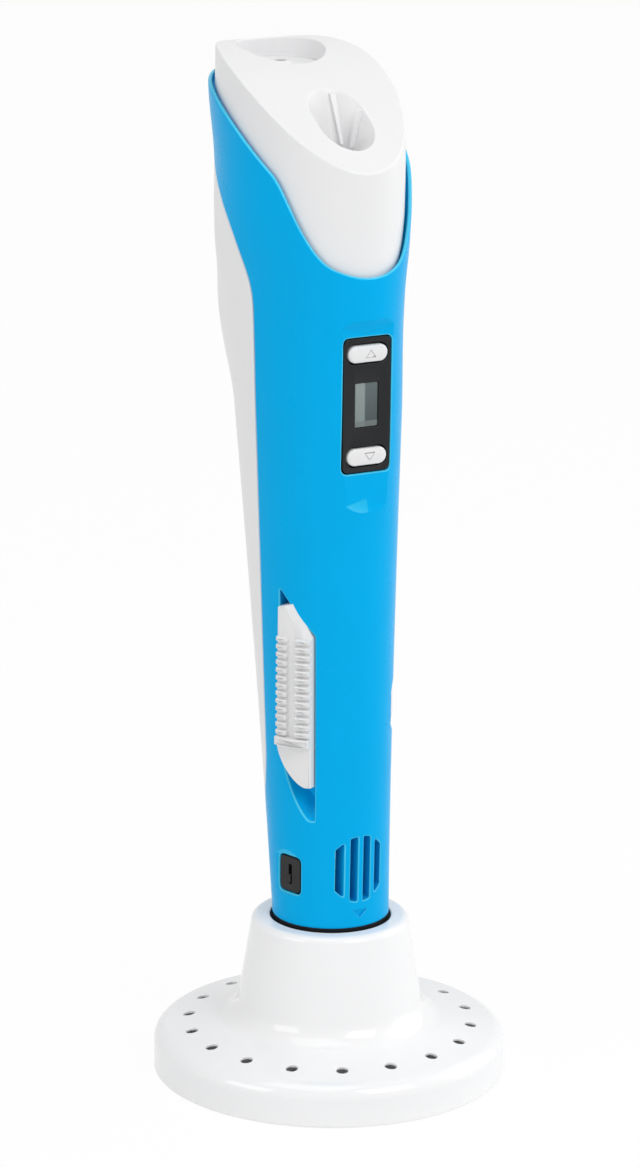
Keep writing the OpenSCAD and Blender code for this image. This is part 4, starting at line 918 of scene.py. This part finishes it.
def load_outline(upper, low, half):
    """Outline shared by the load button and its recess: slanted top, curved lower left side."""
    turns = np.radians(np.linspace(0, 90, LOAD_BOW_STEPS))[1:]
    curve = np.column_stack([half - LOAD_TIP - (2 * half - LOAD_TIP) * np.sin(turns) ** LOAD_BOW,
                             LOAD_CURVE - (LOAD_CURVE - low) * np.cos(turns) ** LOAD_BOW])
    return np.vstack([upper, [(half, low), (half - LOAD_TIP, low)], curve]) + (LOAD_SHIFT, 0)


def button_outline(grow):
    half = LOAD_HALF - BUTTON_GAP + grow
    knee = (LOAD_KNEE[0] - LOAD_SHIFT, LOAD_KNEE[1] + 2 * grow)
    upper = [(-half, LOAD_LEFT + 2 * grow), knee, (half, LOAD_RIGHT + grow)]
    return load_outline(upper, LOAD_END - 2 * grow, half)


def load_recess():
    """Outlines of the load button's recess and opening, and how far the floor between them is scooped."""
    knee = LOAD_KNEE[0] - LOAD_SHIFT
    slant = (LOAD_SLANT - LOAD_TOP) / (2 * LOAD_HALF)
    upper = [(-LOAD_HALF, LOAD_TOP), (knee, LOAD_TOP + slant * (knee + LOAD_HALF)), (LOAD_HALF, LOAD_SLANT)]
    recess = round_corners(load_outline(upper, LOAD_LOW, LOAD_HALF), LOAD_CORNER)
    hole = round_corners(button_outline(HOLE_GAP), LOAD_CORNER)
    both = dense(np.hstack([recess, hole]), LOAD_STEP)
    recess, hole = both[:, :2], both[:, 2:]
    scoop = smooth((LOAD_SCOOP_TOP - recess[:, 1:]) / LOAD_SCOOP_H)
    return recess, hole, scoop


def load_cutter(recess, hole, scoop):
    """Cutter for the recess: rounded edge, then a floor that slopes in below the button."""
    rings = mouth_rings(-FEED_ANGLE, recess, LOAD_MOUTH)
    for share, distance in LOAD_SLOPE:
        rings.append(side_point(-FEED_ANGLE, recess + (hole - recess) * share * scoop, distance))
    return loft("cutter", rings, MOUTH_ROWS)


def backing(name, angle, outline, depth):
    """Block behind the skin, which gives a recess its walls."""
    under = skin_distance(angle, outline[:, 0], outline[:, 1]) - WALL / 2
    return loft(name, [side_point(angle, outline, depth), side_point(angle, outline, under)])


def cut_load_recess(shell):
    recess, hole, scoop = load_recess()
    combine(shell, backing("tub", -FEED_ANGLE, grown(recess, TUB_WALL), LOAD_DEEP - TUB_WALL), "UNION")
    combine(shell, load_cutter(recess, hole, scoop))
    combine(shell, pocket(-FEED_ANGLE, hole, LOAD_DEEP - CLEAR, HOLE_ROUND, LOAD_DEEP))


def cut_display(shell):
    combine(shell, display_cutter())
    panel = dense(rounded_box(BEZEL_W + 2 * BEZEL_GAP, BEZEL_H + 2 * BEZEL_GAP, BEZEL_ROUND), PANEL_STEP)
    combine(shell, pocket(0.0, panel + (0, DISP_Z), BEZEL_BACK - PANEL_ROOM, PANEL_ROUND, DISP_FLAT))


def cut_unload_scoop(shell):
    scoop = dense(stadium(SCOOP_W, SCOOP_H) + (0, UNLOAD_Z), SCOOP_STEP)
    combine(shell, pocket(FEED_ANGLE, scoop, UNLOAD_FLOOR, SCOOP_ROUND))
    hole = stadium(UNLOAD_W + 2 * BUTTON_GAP, UNLOAD_H + 2 * BUTTON_GAP) + (0, UNLOAD_Z)
    combine(shell, pocket(FEED_ANGLE, hole, UNLOAD_FLOOR - UNLOAD_ROOM, UNLOAD_HOLE_ROUND, UNLOAD_FLOOR))


def cut_switch(shell):
    combine(shell, switch_scoop())
    hole = dense(rounded_box(MAT_W + 2 * SEAM, MAT_H + 2 * SEAM, MAT_CORNER), MAT_STEP) + (0, MAT_Z)
    combine(shell, pocket(MAT_ANGLE, hole, MAT_BACK - MAT_ROOM, MAT_MOUTH, MAT_FLAT))


def cut_vents(shell):
    """Fins behind the vents, and the slots through them."""
    oval = circle(FIN_COLUMNS) * (VENT_HALF_W + FIN_MARGIN, VENT_HALF_H + FIN_MARGIN) + (0, VENT_Z)
    combine(shell, backing("fins", 0.0, oval, VENT_BACK), "UNION")
    for k in range(VENT_COUNT):
        slot = vent_outline((k - (VENT_COUNT - 1) / 2) * VENT_PITCH)
        combine(shell, pocket(0.0, slot, VENT_BACK - VENT_ROOM, VENT_ROUND))


def cut_mark(shell):
    """Small arrow head pressed in under the vents."""
    arrow = [(-MARK_SIZE, MARK_SIZE / 2), (0, -MARK_SIZE / 2), (MARK_SIZE, MARK_SIZE / 2)]
    outline = round_corners(np.array(arrow) + (0, MARK_Z), MARK_CORNER)
    combine(shell, pocket(0.0, outline, front_depth(MARK_Z) - MARK_DEPTH, MARK_ROUND))


def display_cutter():
    """Cutter for the flat round the display, with a sloping, ridged end above and below."""
    top, low = DISP_Z + DISP_UP, DISP_Z - DISP_DOWN
    half = SHOULDER_HALF
    rings = []
    for x in (-half, 0.0, half):
        start = DISP_RIDGE * abs(x) / (BEZEL_W / 2)
        end = start + DISP_FACET
        shape = np.array([(-BIG, low - end), (-front_depth(low), low - end), (-DISP_FLAT, low - start),
                          (-DISP_FLAT, top + start), (-front_depth(top), top + end), (-BIG, top + end)])
        rings.append(np.column_stack([np.full(len(shape), x), shape]))
    # The left half of the lower slope is marked for its painted highlight
    return loft("cutter", rings, marks={DISP_LOW_FACET: FACET})


def vent_outline(middle):
    """Slot whose ends follow an oval round the group of vents."""
    sides = np.array([middle - VENT_W / 2, middle + VENT_W / 2])
    reach = VENT_HALF_H * np.sqrt(1 - (sides / VENT_HALF_W) ** 2)
    corners = [(sides[0], -reach[0]), (sides[1], -reach[1]), (sides[1], reach[1]), (sides[0], reach[0])]
    return dense(round_corners(corners, VENT_CORNER), VENT_STEP) + (0, VENT_Z)


def switch_scoop():
    """Cutter for the flat round the material switch, sloping out above and below it."""
    low, high = MAT_Z - MAT_H / 2, MAT_Z + MAT_H / 2
    out = MAT_FLAT + MAT_SCOOP_REACH
    distance = np.array([MAT_FLAT, MAT_FLAT, out, out])
    z = np.array([low, high, high + MAT_UP * MAT_SCOOP_REACH, low - MAT_DOWN * MAT_SCOOP_REACH])
    rings = []
    for u in (-MAT_SCOOP_W / 2, MAT_SCOOP_W / 2):
        rings.append(side_point(MAT_ANGLE, np.column_stack([np.full(len(z), u), z]), distance))
    # The slope above the switch is marked for its painted highlight
    return loft("cutter", rings, marks={MAT_UP_FACET: FACET})


def rear_ring(outline, y):
    """Outline seen from behind, at a depth."""
    return np.column_stack([outline[:, 0], np.full(len(outline), y), outline[:, 1]])


def rear_cover():
    """White rear cover, rounded at the seam, with two screw holes."""
    low_tip, top_tip = tip_heights(SEAM)
    crowd = tip_crowd()
    heights = np.linspace(low_tip + COVER_END, top_tip - COVER_END, COVER_ROWS)
    heights = np.concatenate([heights, low_tip + crowd, top_tip - crowd])
    outer, inner = [], []
    for z in np.unique(np.round(heights, 5)):
        _, mid, b = section(z)
        t_edge = math.acos(np.clip((mid - part_line(z) - SEAM) / b, -1, 1))
        t = math.pi + edge_columns(max(math.pi - t_edge, 1e-4), z, COVER_COLUMNS)
        y = skin(t, z)[:, 1]
        gap = (y - part_line(z) - SEAM) / np.sqrt(1 + part_slope(z) ** 2)
        outer.append(skin(t, z, rounding(gap, PART_ROUND)))
        inner.append(skin(t, z, WALL))
    points = np.array([outer, inner])
    index = np.arange(points[..., 0].size).reshape(points.shape[:3])
    faces = grid_faces(index[0]) + grid_faces(index[1])
    for end in (0, -1):
        faces += grid_faces(index[:, :, end]) + grid_faces(index[:, end, :])
    cover = make_object("rear_cover_skin", points, faces)
    for side in (-1, 1):
        ring = stadium(2 * SCREW_HOLE_R, 2 * SCREW_HOLE_R) * (-1, 1) + (side * SCREW_X, SCREW_Z)
        combine(cover, loft("cutter", [rear_ring(ring, y) for y in (SCREW_SEAT - CLEAR, BIG)]))
    return dress(cover, "pen", "shell_white", "rear_cover")


def cap_solid(name, inset, low, top_gap, edge):
    """Plug inside the rim up to the cap's sloping top, or below it by a gap."""
    t = np.linspace(0, 2 * math.pi, CAP_COLUMNS, endpoint=False)

    def line(y):
        return cap_line(y) - top_gap

    bottom = edge_height(rim_line, t, inset) - low
    top = edge_height(line, t, inset)
    rings = []
    for share in np.linspace(0, 1, CAP_ROWS):
        rings.append(skin(t, bottom + (top - edge - SHELF - bottom) * share, inset))
    for fall, depth in rounded_edge(edge, 7):
        ring = skin(t, top - edge, inset + fall)
        rings.append(level_ring(ring[:, :2], line(ring[:, 1]) - depth))
    rim = rings[-1][:, :2]
    centre = rim.mean(0)
    for share in np.linspace(1, CAP_MIDDLE, CAP_RINGS)[1:]:
        ring = centre + (rim - centre) * share
        rings.append(level_ring(ring, line(ring[:, 1])))
    return loft(name, rings)


def cap_tube(name, outline, low):
    """Walls under the cap's top, down to a height."""
    return loft(name, [level_ring(outline, low), level_ring(outline, cap_line(outline[:, 1]) - CAP_TOP / 2)])


def top_cap():
    """White cap: thin plug in the rim with the plug well, the round pocket and the filament hole."""
    cap = cap_solid("top_cap_skin", CAP_INSET, CAP_SKIRT, 0.0, CAP_ROUND)
    hollow = cap_solid("cutter", CAP_INSET + CAP_WALL, CAP_SKIRT + CAP_OPEN, CAP_TOP, CAP_INNER_ROUND)
    combine(cap, hollow)
    well = stadium(2 * WELL_R, WELL_LEN + 2 * WELL_R) + (0, WELL_Y)
    combine(cap, cap_tube("tube", grown(well, WELL_WALL), WELL_Z), "UNION")
    disc = stadium(2 * POCKET_R, 2 * POCKET_R, 36) + (0, POCKET_Y)
    cup = cap_tube("cup", grown(disc, POCKET_WALL), POCKET_Z - POCKET_BASE)
    trim = cap_solid("trim", CAP_INSET + CAP_WALL / 2, CAP_SKIRT, CAP_TOP / 2, CAP_INNER_ROUND)
    combine(cup, trim, "INTERSECT")
    combine(cap, cup, "UNION")
    combine(cap, upright(dense(well, WELL_STEP), WELL_FOOT_Z, WELL_ROUND, WELL_FOOT, WELL_UNDER))
    for top, low in WELL_RIBS:
        combine(cap, well_rib(np.array(top), np.array(low)), "UNION")
    combine(cap, upright(disc, POCKET_Z, POCKET_ROUND))
    combine(cap, floor_groove())
    combine(cap, inlet_boss(), "UNION")
    combine(cap, inlet_cutter())
    return dress(cap, "pen", "shell_white", "top_cap")


def disc_at(radius, z):
    """Level circle round the filament hole."""
    return level_ring(stadium(2 * radius, 2 * radius) + (0, POCKET_Y), z)


def inlet_boss():
    """Low round boss on the pocket's floor."""
    rings = [disc_at(BOSS_R, POCKET_Z - BOSS_OUT)]
    for inset, depth in rounded_edge(BOSS_ROUND):
        rings.append(disc_at(BOSS_R - inset, POCKET_Z + BOSS_OUT - depth))
    return loft("boss", rings)


def floor_groove():
    """Cutter for the groove round the pocket's floor."""
    def disc(radius, deep):
        return loft("cutter", [disc_at(radius, POCKET_Z - deep), disc_at(radius, POCKET_Z + deep)])

    ring = disc(GROOVE_R[1], GROOVE_DEEP)
    combine(ring, disc(GROOVE_R[0], GROOVE_DEEP + CLEAR))
    return ring


def inlet_cutter():
    """Cutter for the filament hole: rounded edge, thin lip, and a wider room under it."""
    top = POCKET_Z + BOSS_OUT
    rings = [disc_at(INLET_R + growth, top - depth) for growth, depth in mouth(INLET_ROUND)]
    rings += [disc_at(INLET_R, top - INLET_LIP), disc_at(INLET_ROOM, top - INLET_LIP - SHELF)]
    rings.append(disc_at(INLET_ROOM, POCKET_Z - INLET_UNDER))
    return loft("cutter", rings)


def well_rib(top, low):
    """Thin guide rib down the wall of the plug well, narrower at its foot."""
    inward = np.array([0.0, WELL_Y, 0.0]) - top * (1, 1, 0)
    inward = inward / np.linalg.norm(inward)
    side = np.array([-inward[1], inward[0], 0.0])
    rings = []
    for end, width in zip((top, low), WELL_RIB_W):
        rings.append([end + side * a * width / 2 + inward * b * WELL_RIB_OUT
                      for a, b in ((-1, -1), (1, -1), (WELL_RIB_TAPER, 1), (-WELL_RIB_TAPER, 1))])
    return loft("rib", rings)


def arc(x, z, radius, start, end, steps):
    turns = np.radians(np.linspace(start, end, steps))
    return np.column_stack([x + radius * np.cos(turns), z + radius * np.sin(turns)])


def stand_profile():
    """Radius and height round the stand's section, and over its plate from the collar outward."""
    slope_x = STAND_R - STAND_EDGE_ROUND
    fillet_x = COLLAR_FOOT_R + STAND_FILLET
    fillet_z = STAND_EDGE_Z + STAND_RISE + STAND_FILLET
    inner_r = STAND_R - STAND_WALL
    inner_z = STAND_EDGE_Z - STAND_WALL
    edge = arc(slope_x, STAND_EDGE_Z - STAND_EDGE_ROUND, STAND_EDGE_ROUND, 0, 90 - STAND_TILT, 14)
    fillet = arc(fillet_x, fillet_z, STAND_FILLET, 270 - STAND_TILT / 2, 180 + COLLAR_TILT, 18)
    plate = np.linspace(edge[-1], fillet[0], 10)[1:-1]
    lip = arc(COLLAR_TOP_R - COLLAR_ROUND, COLLAR_Z - COLLAR_ROUND, COLLAR_ROUND, COLLAR_TILT, 90, 10)
    collar = np.linspace(fillet[-1], lip[0], 14)[1:-1]
    mouth_lip = arc(SOCKET_R + MOUTH_ROUND, COLLAR_Z - MOUTH_ROUND, MOUTH_ROUND, 90, 180, 7)
    foot = arc(STAND_R - STAND_FOOT_ROUND, STAND_FOOT_ROUND, STAND_FOOT_ROUND, -90, 0, 5)
    inside = [(SOCKET_R, SEAT_Z), (SEAT_HOLE_R, SEAT_Z), (SEAT_HOLE_R, SEAT_Z - STAND_WALL),
              (COLLAR_FOOT_R - STAND_WALL - STAND_CORNER, SEAT_Z - STAND_WALL),
              (COLLAR_FOOT_R - STAND_WALL, fillet_z - STAND_CORNER),
              (fillet_x, inner_z + STAND_RISE), (slope_x, inner_z),
              (inner_r, inner_z - STAND_EDGE_ROUND + STAND_CORNER), (inner_r, 0.0)]
    profile = np.vstack([foot, edge, plate, fillet, collar, lip, mouth_lip, inside])
    return profile, np.vstack([edge, plate, fillet])[::-1]


def holder_cutter(place, plate):
    """Cutter for one holder hole: rounded edge, thin plate, and a wider room under it."""
    hole = stadium(2 * HOLDER_R, 2 * HOLDER_R, 16)

    def level(growth, depth):
        ring = grown(hole, growth) + place
        return level_ring(ring, np.interp(np.hypot(*ring.T), *plate.T) - depth)

    rings = [level(growth, depth) for growth, depth in mouth(HOLDER_ROUND)]
    rings += [level(0.0, HOLDER_PLATE), level(HOLDER_ROOM, HOLDER_PLATE + SHELF)]
    rings.append(rings[-1] * (1, 1, 0))
    return loft("cutter", rings)


def stand():
    """Round stand: revolved plate and collar with rounded edges and a ring of holes."""
    profile, plate = stand_profile()
    outline = np.vstack([profile, profile[:1]])
    points = np.array([level_ring(r * circle(STAND_COLUMNS), z) for r, z in outline])
    body = make_object("stand_moulding", points, ring_faces(len(points), STAND_COLUMNS))
    for k in range(HOLDER_COUNT):
        turn = math.radians(HOLDER_PHASE + k * 360 / HOLDER_COUNT)
        place = (HOLDER_CIRCLE * math.cos(turn), HOLDER_CIRCLE * math.sin(turn))
        combine(body, holder_cutter(place, plate))
    return dress(body, "stand", "stand_white", "stand")


def pad(name, angle, middle, w, h, back, face, edge, crown):
    """Button with round ends, a rounded edge and a slightly domed face."""
    def ring(inset, distance):
        return side_point(angle, stadium(w - 2 * inset, h - 2 * inset) + (0, middle), distance)

    rings = [ring(0.0, back)]
    rings += [ring(inset, face - crown - depth) for inset, depth in rounded_edge(edge, 8)]
    for share in np.linspace(0, PAD_MIDDLE, PAD_RINGS + 1)[1:]:
        rings.append(ring(edge + (min(w, h) / 2 - edge) * share, face - crown * (1 - share) ** 2))
    return loft(name, rings)


def button_face(points, out=0.0):
    """Distance from the axis of the load button's domed face, or of a rib that stands out of it."""
    return LOAD_FACE - LOAD_CROWN + np.sqrt((LOAD_CROWN + out) ** 2 - (points[:, 0] - LOAD_PEAK) ** 2)


def load_button():
    """Long button: domed face, slanted top facet, ridge and two rows of ribs, all with rounded edges."""
    outline = dense(round_corners(button_outline(0.0), LOAD_ROUND), BUTTON_STEP)
    button = raised("load_button_body", -FEED_ANGLE, outline, LOAD_BACK, button_face, LOAD_ROUND, 6)
    combine(button, bevel_cutter())
    reach = LOAD_HALF - BUTTON_GAP - RIB_INSET
    left, right = LOAD_SHIFT - reach, LOAD_SHIFT + reach
    bars = [(left, right, RIDGE_Z, RIDGE_H, RIDGE_OUT)]
    for k in range(RIB_COUNT):
        z = RIDGE_Z + RIB_FIRST + k * RIB_PITCH
        bars += [(left, SPINE_LEFT, z, RIB_W, RIB_OUT), (SPINE_RIGHT, right, z, RIB_W, RIB_OUT)]
    for values in bars:
        combine(button, bar(*values), "UNION")
    return dress(button, "load", "button_white", "load_button")


def bevel_cutter():
    """Cutter for the slanted facet at the load button's top, through two points of its face and its knee."""
    ends = np.array(LOAD_BEVEL)
    start, end = np.column_stack([ends, button_face(ends)])
    along = (end - start) / np.linalg.norm(end - start)
    out = np.cross(along, np.array([*LOAD_KNEE, LOAD_BEVEL_FOOT]) - start)
    out = out / np.linalg.norm(out)
    out = out if out[2] > 0 else -out
    up = np.cross(out, along)
    signs = ((-1, -1), (1, -1), (1, 1), (-1, 1))
    square = np.array([(start + end) / 2 + LOAD_BEVEL_REACH * (a * along + b * up) for a, b in signs])
    rings = []
    for lift in (0.0, LOAD_BEVEL_REACH):
        ring = square + lift * out
        rings.append(side_point(-FEED_ANGLE, ring[:, :2], ring[:, 2]))
    return loft("cutter", rings)


def bar(start, end, z, h, out):
    """Rib with a rounded top, following the button's face."""
    def face(points):
        return button_face(points, out)

    outline = dense(rounded_box(end - start, h, RIB_CORNER), RIB_STEP) + ((start + end) / 2, z)
    return raised("bar", -FEED_ANGLE, outline, RIB_BACK, face, RIB_ROUND)


def copy_of(node, name):
    """Copy of a node's mesh with its flat faces whole."""
    mesh = nodes[node].data.copy()
    obj = bpy.data.objects.new(name, mesh)
    bpy.context.scene.collection.objects.link(obj)
    bm = bmesh.new()
    bm.from_mesh(mesh)
    bmesh.ops.remove_doubles(bm, verts=bm.verts, dist=COPY_JOIN)
    bmesh.ops.dissolve_limit(bm, angle_limit=math.radians(FLAT_ANGLE), verts=bm.verts, edges=bm.edges)
    bm.to_mesh(mesh)
    bm.free()
    return obj


def bevelled(obj, body, slot, node, width):
    """Dresses a piece in a node's place with its hard edges bevelled."""
    bevel = obj.modifiers.new("bevel", "BEVEL")
    bevel.width = width * MM
    bevel.segments = BEVEL_SEGMENTS
    bevel.limit_method = "ANGLE"
    bevel.angle_limit = math.radians(BEVEL_ANGLE)
    bevel.use_clamp_overlap = True
    return dress(obj, body, slot, node)


def soften(node, body, slot, width):
    """The node's own shape with its hard edges bevelled."""
    return bevelled(copy_of(node, node + "_soft"), body, slot, node, width)


def raised(name, angle, outline, back, face, edge, steps=5):
    """Block from a distance from the axis out to a flat or curved face, with a rounded edge round it."""
    rings = [side_point(angle, outline, back)]
    for inset, depth in rounded_edge(edge, steps):
        ring = grown(outline, -inset)
        level = face(ring) if callable(face) else face
        rings.append(side_point(angle, ring, level - depth))
    return loft(name, rings)


def material_switch():
    """Switch plate with rounded corners, and the knob in its slot."""
    outline = rounded_box(MAT_W, MAT_H, MAT_CORNER) + (0, MAT_Z)
    plate = raised("material_switch_plate", MAT_ANGLE, outline, MAT_BACK, MAT_FACE, MAT_ROUND)
    slot = dense(rounded_box(SLOT_W, SLOT_H, SLOT_CORNER), MAT_STEP) + (0, MAT_Z)
    floor = MAT_FACE - SLOT_DEEP
    combine(plate, pocket(MAT_ANGLE, slot, floor, SLOT_ROUND, MAT_FACE))
    dress(plate, "pen", "black_plastic", "material_switch")
    knob_z = MAT_Z - SLOT_H / 2 + BUTTON_GAP + KNOB_H / 2
    outline = rounded_box(KNOB_W, KNOB_H, KNOB_CORNER) + (0, knob_z)
    knob = raised("material_knob_pin", MAT_ANGLE, outline, floor + SHELF, MAT_FACE + KNOB_OUT, KNOB_ROUND)
    dress(knob, "material", "black_plastic", "material_knob")


def display_pane():
    """Window and display in one block that fills the bezel's opening."""
    outline = rounded_box(WINDOW_W - WINDOW_GAP, WINDOW_H - WINDOW_GAP, WINDOW_CORNER) + (0, DISP_Z)
    pane = raised("display_pane", 0.0, outline, WINDOW_BACK, WINDOW_FACE, WINDOW_ROUND)
    return dress(pane, "pen", "lcd_grey", "display_lens", "lcd_module")


def arrow_cutter(side):
    """Cutter for the outline of an arrow, engraved in a speed button."""
    corners = np.array([(-ARROW_W / 2, -ARROW_H / 2), (ARROW_W / 2, -ARROW_H / 2), (0, ARROW_H / 2)])
    outer = round_corners(corners * (1, side), ARROW_CORNER) + (ARROW_X, DISP_Z + side * SPEED_Z)
    inner = grown(outer, -ARROW_LINE)
    low, top = SPEED_FACE - ARROW_DEEP, SPEED_FACE + CLEAR
    ring = loft("cutter", [side_point(0.0, outer, d) for d in (low, top)])
    combine(ring, loft("cutter", [side_point(0.0, inner, d) for d in (low - CLEAR, top + CLEAR)]))
    return ring


def screw_heads():
    """The shell screws with a cross recess in each head."""
    obj = copy_of("shell_screws", "shell_screws_cross")
    top = SCREW_SEAT + SCREW_HEAD_H
    for side in (-1, 1):
        for w, h in ((CROSS_LONG, CROSS_WIDE), (CROSS_WIDE, CROSS_LONG)):
            ring = rounded_box(w, h, CROSS_CORNER) + (side * SCREW_X, SCREW_Z)
            combine(obj, loft("cutter", [rear_ring(ring, y) for y in (top - CROSS_DEEP, top + CLEAR)]))
    return bevelled(obj, "pen", "steel", "shell_screws", SCREW_BEVEL)


def speed_button(name, side):
    """Oval speed button with its arrow."""
    middle = DISP_Z + side * SPEED_Z
    button = pad(name + "_cap", 0.0, middle, SPEED_W, SPEED_H, SPEED_BACK, SPEED_FACE,
                 SPEED_ROUND, SPEED_CROWN)
    combine(button, arrow_cutter(side))
    return dress(button, name, "button_white", name + "_button")


def unload_button():
    button = pad("unload_cap", FEED_ANGLE, UNLOAD_Z, UNLOAD_W, UNLOAD_H, UNLOAD_BACK, UNLOAD_FACE,
                 UNLOAD_ROUND, UNLOAD_CROWN)
    return dress(button, "unload", "button_white", "unload_button")


for part in frame["record"]["subparts"]:
    for place in nodes[part["node"]].material_slots:
        place.material = materials[part["material_slot"]]

front_shell()
rear_cover()
top_cap()
stand()
load_button()
speed_button("speed_up", 1)
speed_button("speed_down", -1)
display_pane()
screw_heads()
unload_button()
soften("display_bezel", "pen", "panel_black", BEZEL_BEVEL)
material_switch()
soften("nose_ring", "pen", "black_plastic", RING_BEVEL)


# Camera, light and floor

VIEW_AZIMUTH = math.radians(-30.0)
VIEW_ELEVATION = math.radians(21.24)
VIEW_PITCH = math.radians(-6.066)
VIEW_YAW = math.radians(0.181)
VIEW_ROLL = math.radians(0.545)
VIEW_DISTANCE = 842.6
VIEW_FOCUS = 4505.0
VIEW_LONG_SIDE = 1167.0
SENSOR = 36.0
# Nearest and farthest that the camera sees, in metres
VIEW_CLIP = (0.05, 50.0)
# Each lamp's name, azimuth and elevation in degrees, distance, width and height in metres, and power
LAMPS = (("key", 13, 36, 1.1, 0.6, 0.52, 3.75), ("left", -85, 22, 1.1, 0.6, 0.45, 2.0),
         ("right", 80, 22, 1.3, 1.2, 1.2, 5.4), ("top", -60, 72, 1.1, 0.8, 0.8, 2.8))
LAMP_AIM = Vector((0, 0, 0.1))
# Light of the surroundings on the part, and the floor's half size and drop in metres, and its looks
WORLD_LIGHT = 0.42
FLOOR_HALF = 4.0
FLOOR_DROP = 0.0002
FLOOR_COLOUR = (0.96, 0.96, 0.96)
FLOOR_ROUGH = 0.9
FLOOR_GLOW = 0.95


def add_camera():
    """Camera fitted to the photograph's circles and edges."""
    data = bpy.data.cameras.new("camera")
    data.sensor_fit = "AUTO"
    data.sensor_width = SENSOR
    data.lens = SENSOR * VIEW_FOCUS / VIEW_LONG_SIDE
    data.clip_start, data.clip_end = VIEW_CLIP
    camera = bpy.data.objects.new("camera", data)
    bpy.context.scene.collection.objects.link(camera)
    turn = Matrix.Rotation(VIEW_AZIMUTH, 3, "Z")
    swing = Matrix.Rotation(VIEW_YAW, 3, "Z")
    tilt = VIEW_ELEVATION + VIEW_PITCH
    ahead = swing @ Vector((0, math.cos(tilt), -math.sin(tilt)))
    right = swing @ Vector((1, 0, 0))
    up = right.cross(ahead)
    c, s = math.cos(VIEW_ROLL), math.sin(VIEW_ROLL)
    right, up = c * right + s * up, c * up - s * right
    axes = Matrix((turn @ right, turn @ up, turn @ -ahead)).transposed()
    place = turn @ Vector((0, -math.cos(VIEW_ELEVATION), math.sin(VIEW_ELEVATION))) * VIEW_DISTANCE * MM
    camera.matrix_world = Matrix.Translation(place) @ axes.to_4x4()
    bpy.context.scene.camera = camera


def add_softbox(name, azimuth, elevation, distance, width, height, power):
    """Rectangular lamp at an angle round the part, turned to it."""
    data = bpy.data.lights.new(name, "AREA")
    data.shape = "RECTANGLE"
    data.size = width
    data.size_y = height
    data.energy = power
    lamp = bpy.data.objects.new(name, data)
    bpy.context.scene.collection.objects.link(lamp)
    a, e = math.radians(azimuth), math.radians(elevation)
    away = Vector((math.sin(a) * math.cos(e), -math.cos(a) * math.cos(e), math.sin(e)))
    lamp.location = LAMP_AIM + distance * away
    lamp.rotation_euler = (-away).to_track_quat("-Z", "Y").to_euler()


def calculate(tree, operation, first, second):
    """Result of a sum on two values, each a number or another node's output."""
    return add_node(tree, "Math", {0: first, 1: second}, operation=operation).outputs["Value"]


def seen_directly(tree):
    """One for camera, glossy and transmission rays, zero for light on the part."""
    path = add_node(tree, "LightPath", {})
    value = path.outputs["Is Camera Ray"]
    for ray in ("Is Glossy Ray", "Is Transmission Ray"):
        value = calculate(tree, "MAXIMUM", value, path.outputs[ray])
    return value


def add_world():
    """White behind the part and in its reflections, softer grey for its light."""
    world = bpy.data.worlds.new("studio")
    bpy.context.scene.world = world
    world.use_nodes = True
    tree = world.node_tree
    tree.nodes.clear()
    mix = add_node(tree, "MixShader", {0: seen_directly(tree)})
    for place, strength in ((1, WORLD_LIGHT), (2, 1.0)):
        light = add_node(tree, "Background", {"Color": (1, 1, 1), "Strength": strength})
        fill(tree, mix, {place: light.outputs["Background"]})
    add_node(tree, "OutputWorld", {"Surface": mix.outputs["Shader"]})


def beyond_stand(tree, value):
    """The value outside the stand's foot, and zero under the stand, where the floor is in the dark."""
    where = add_node(tree, "TexCoord", {}).outputs["Object"]
    length = add_node(tree, "VectorMath", {0: where}, operation="LENGTH").outputs["Value"]
    outside = calculate(tree, "GREATER_THAN", length, (STAND_R - STAND_WALL / 2) * MM)
    return calculate(tree, "MULTIPLY", outside, value)


def add_floor():
    """Plain white floor that keeps a faint shadow."""
    mesh = bpy.data.meshes.new("floor")
    corners = [(a * FLOOR_HALF, b * FLOOR_HALF, 0) for a, b in ((-1, -1), (1, -1), (1, 1), (-1, 1))]
    mesh.from_pydata(corners, [], [(0, 1, 2, 3)])
    floor = bpy.data.objects.new("floor", mesh)
    floor.location = (0, 0, -FLOOR_DROP)
    bpy.context.scene.collection.objects.link(floor)
    material = bpy.data.materials.new("floor_white")
    material.use_nodes = True
    tree = material.node_tree
    shader = tree.nodes["Principled BSDF"]
    fill(tree, shader, {"Base Color": FLOOR_COLOUR, "Roughness": FLOOR_ROUGH, "Specular IOR Level": 0.0})
    glow = add_node(tree, "Emission", {"Color": (1, 1, 1), "Strength": 1.0})
    share = calculate(tree, "MULTIPLY", seen_directly(tree), FLOOR_GLOW)
    mix = add_node(tree, "MixShader", {0: beyond_stand(tree, share), 1: shader.outputs["BSDF"],
                                       2: glow.outputs["Emission"]})
    fill(tree, tree.nodes["Material Output"], {"Surface": mix.outputs["Shader"]})
    mesh.materials.append(material)


add_camera()
add_world()
add_floor()
for lamp in LAMPS:
    add_softbox(*lamp)
bpy.context.scene.view_settings.view_transform = "Standard"
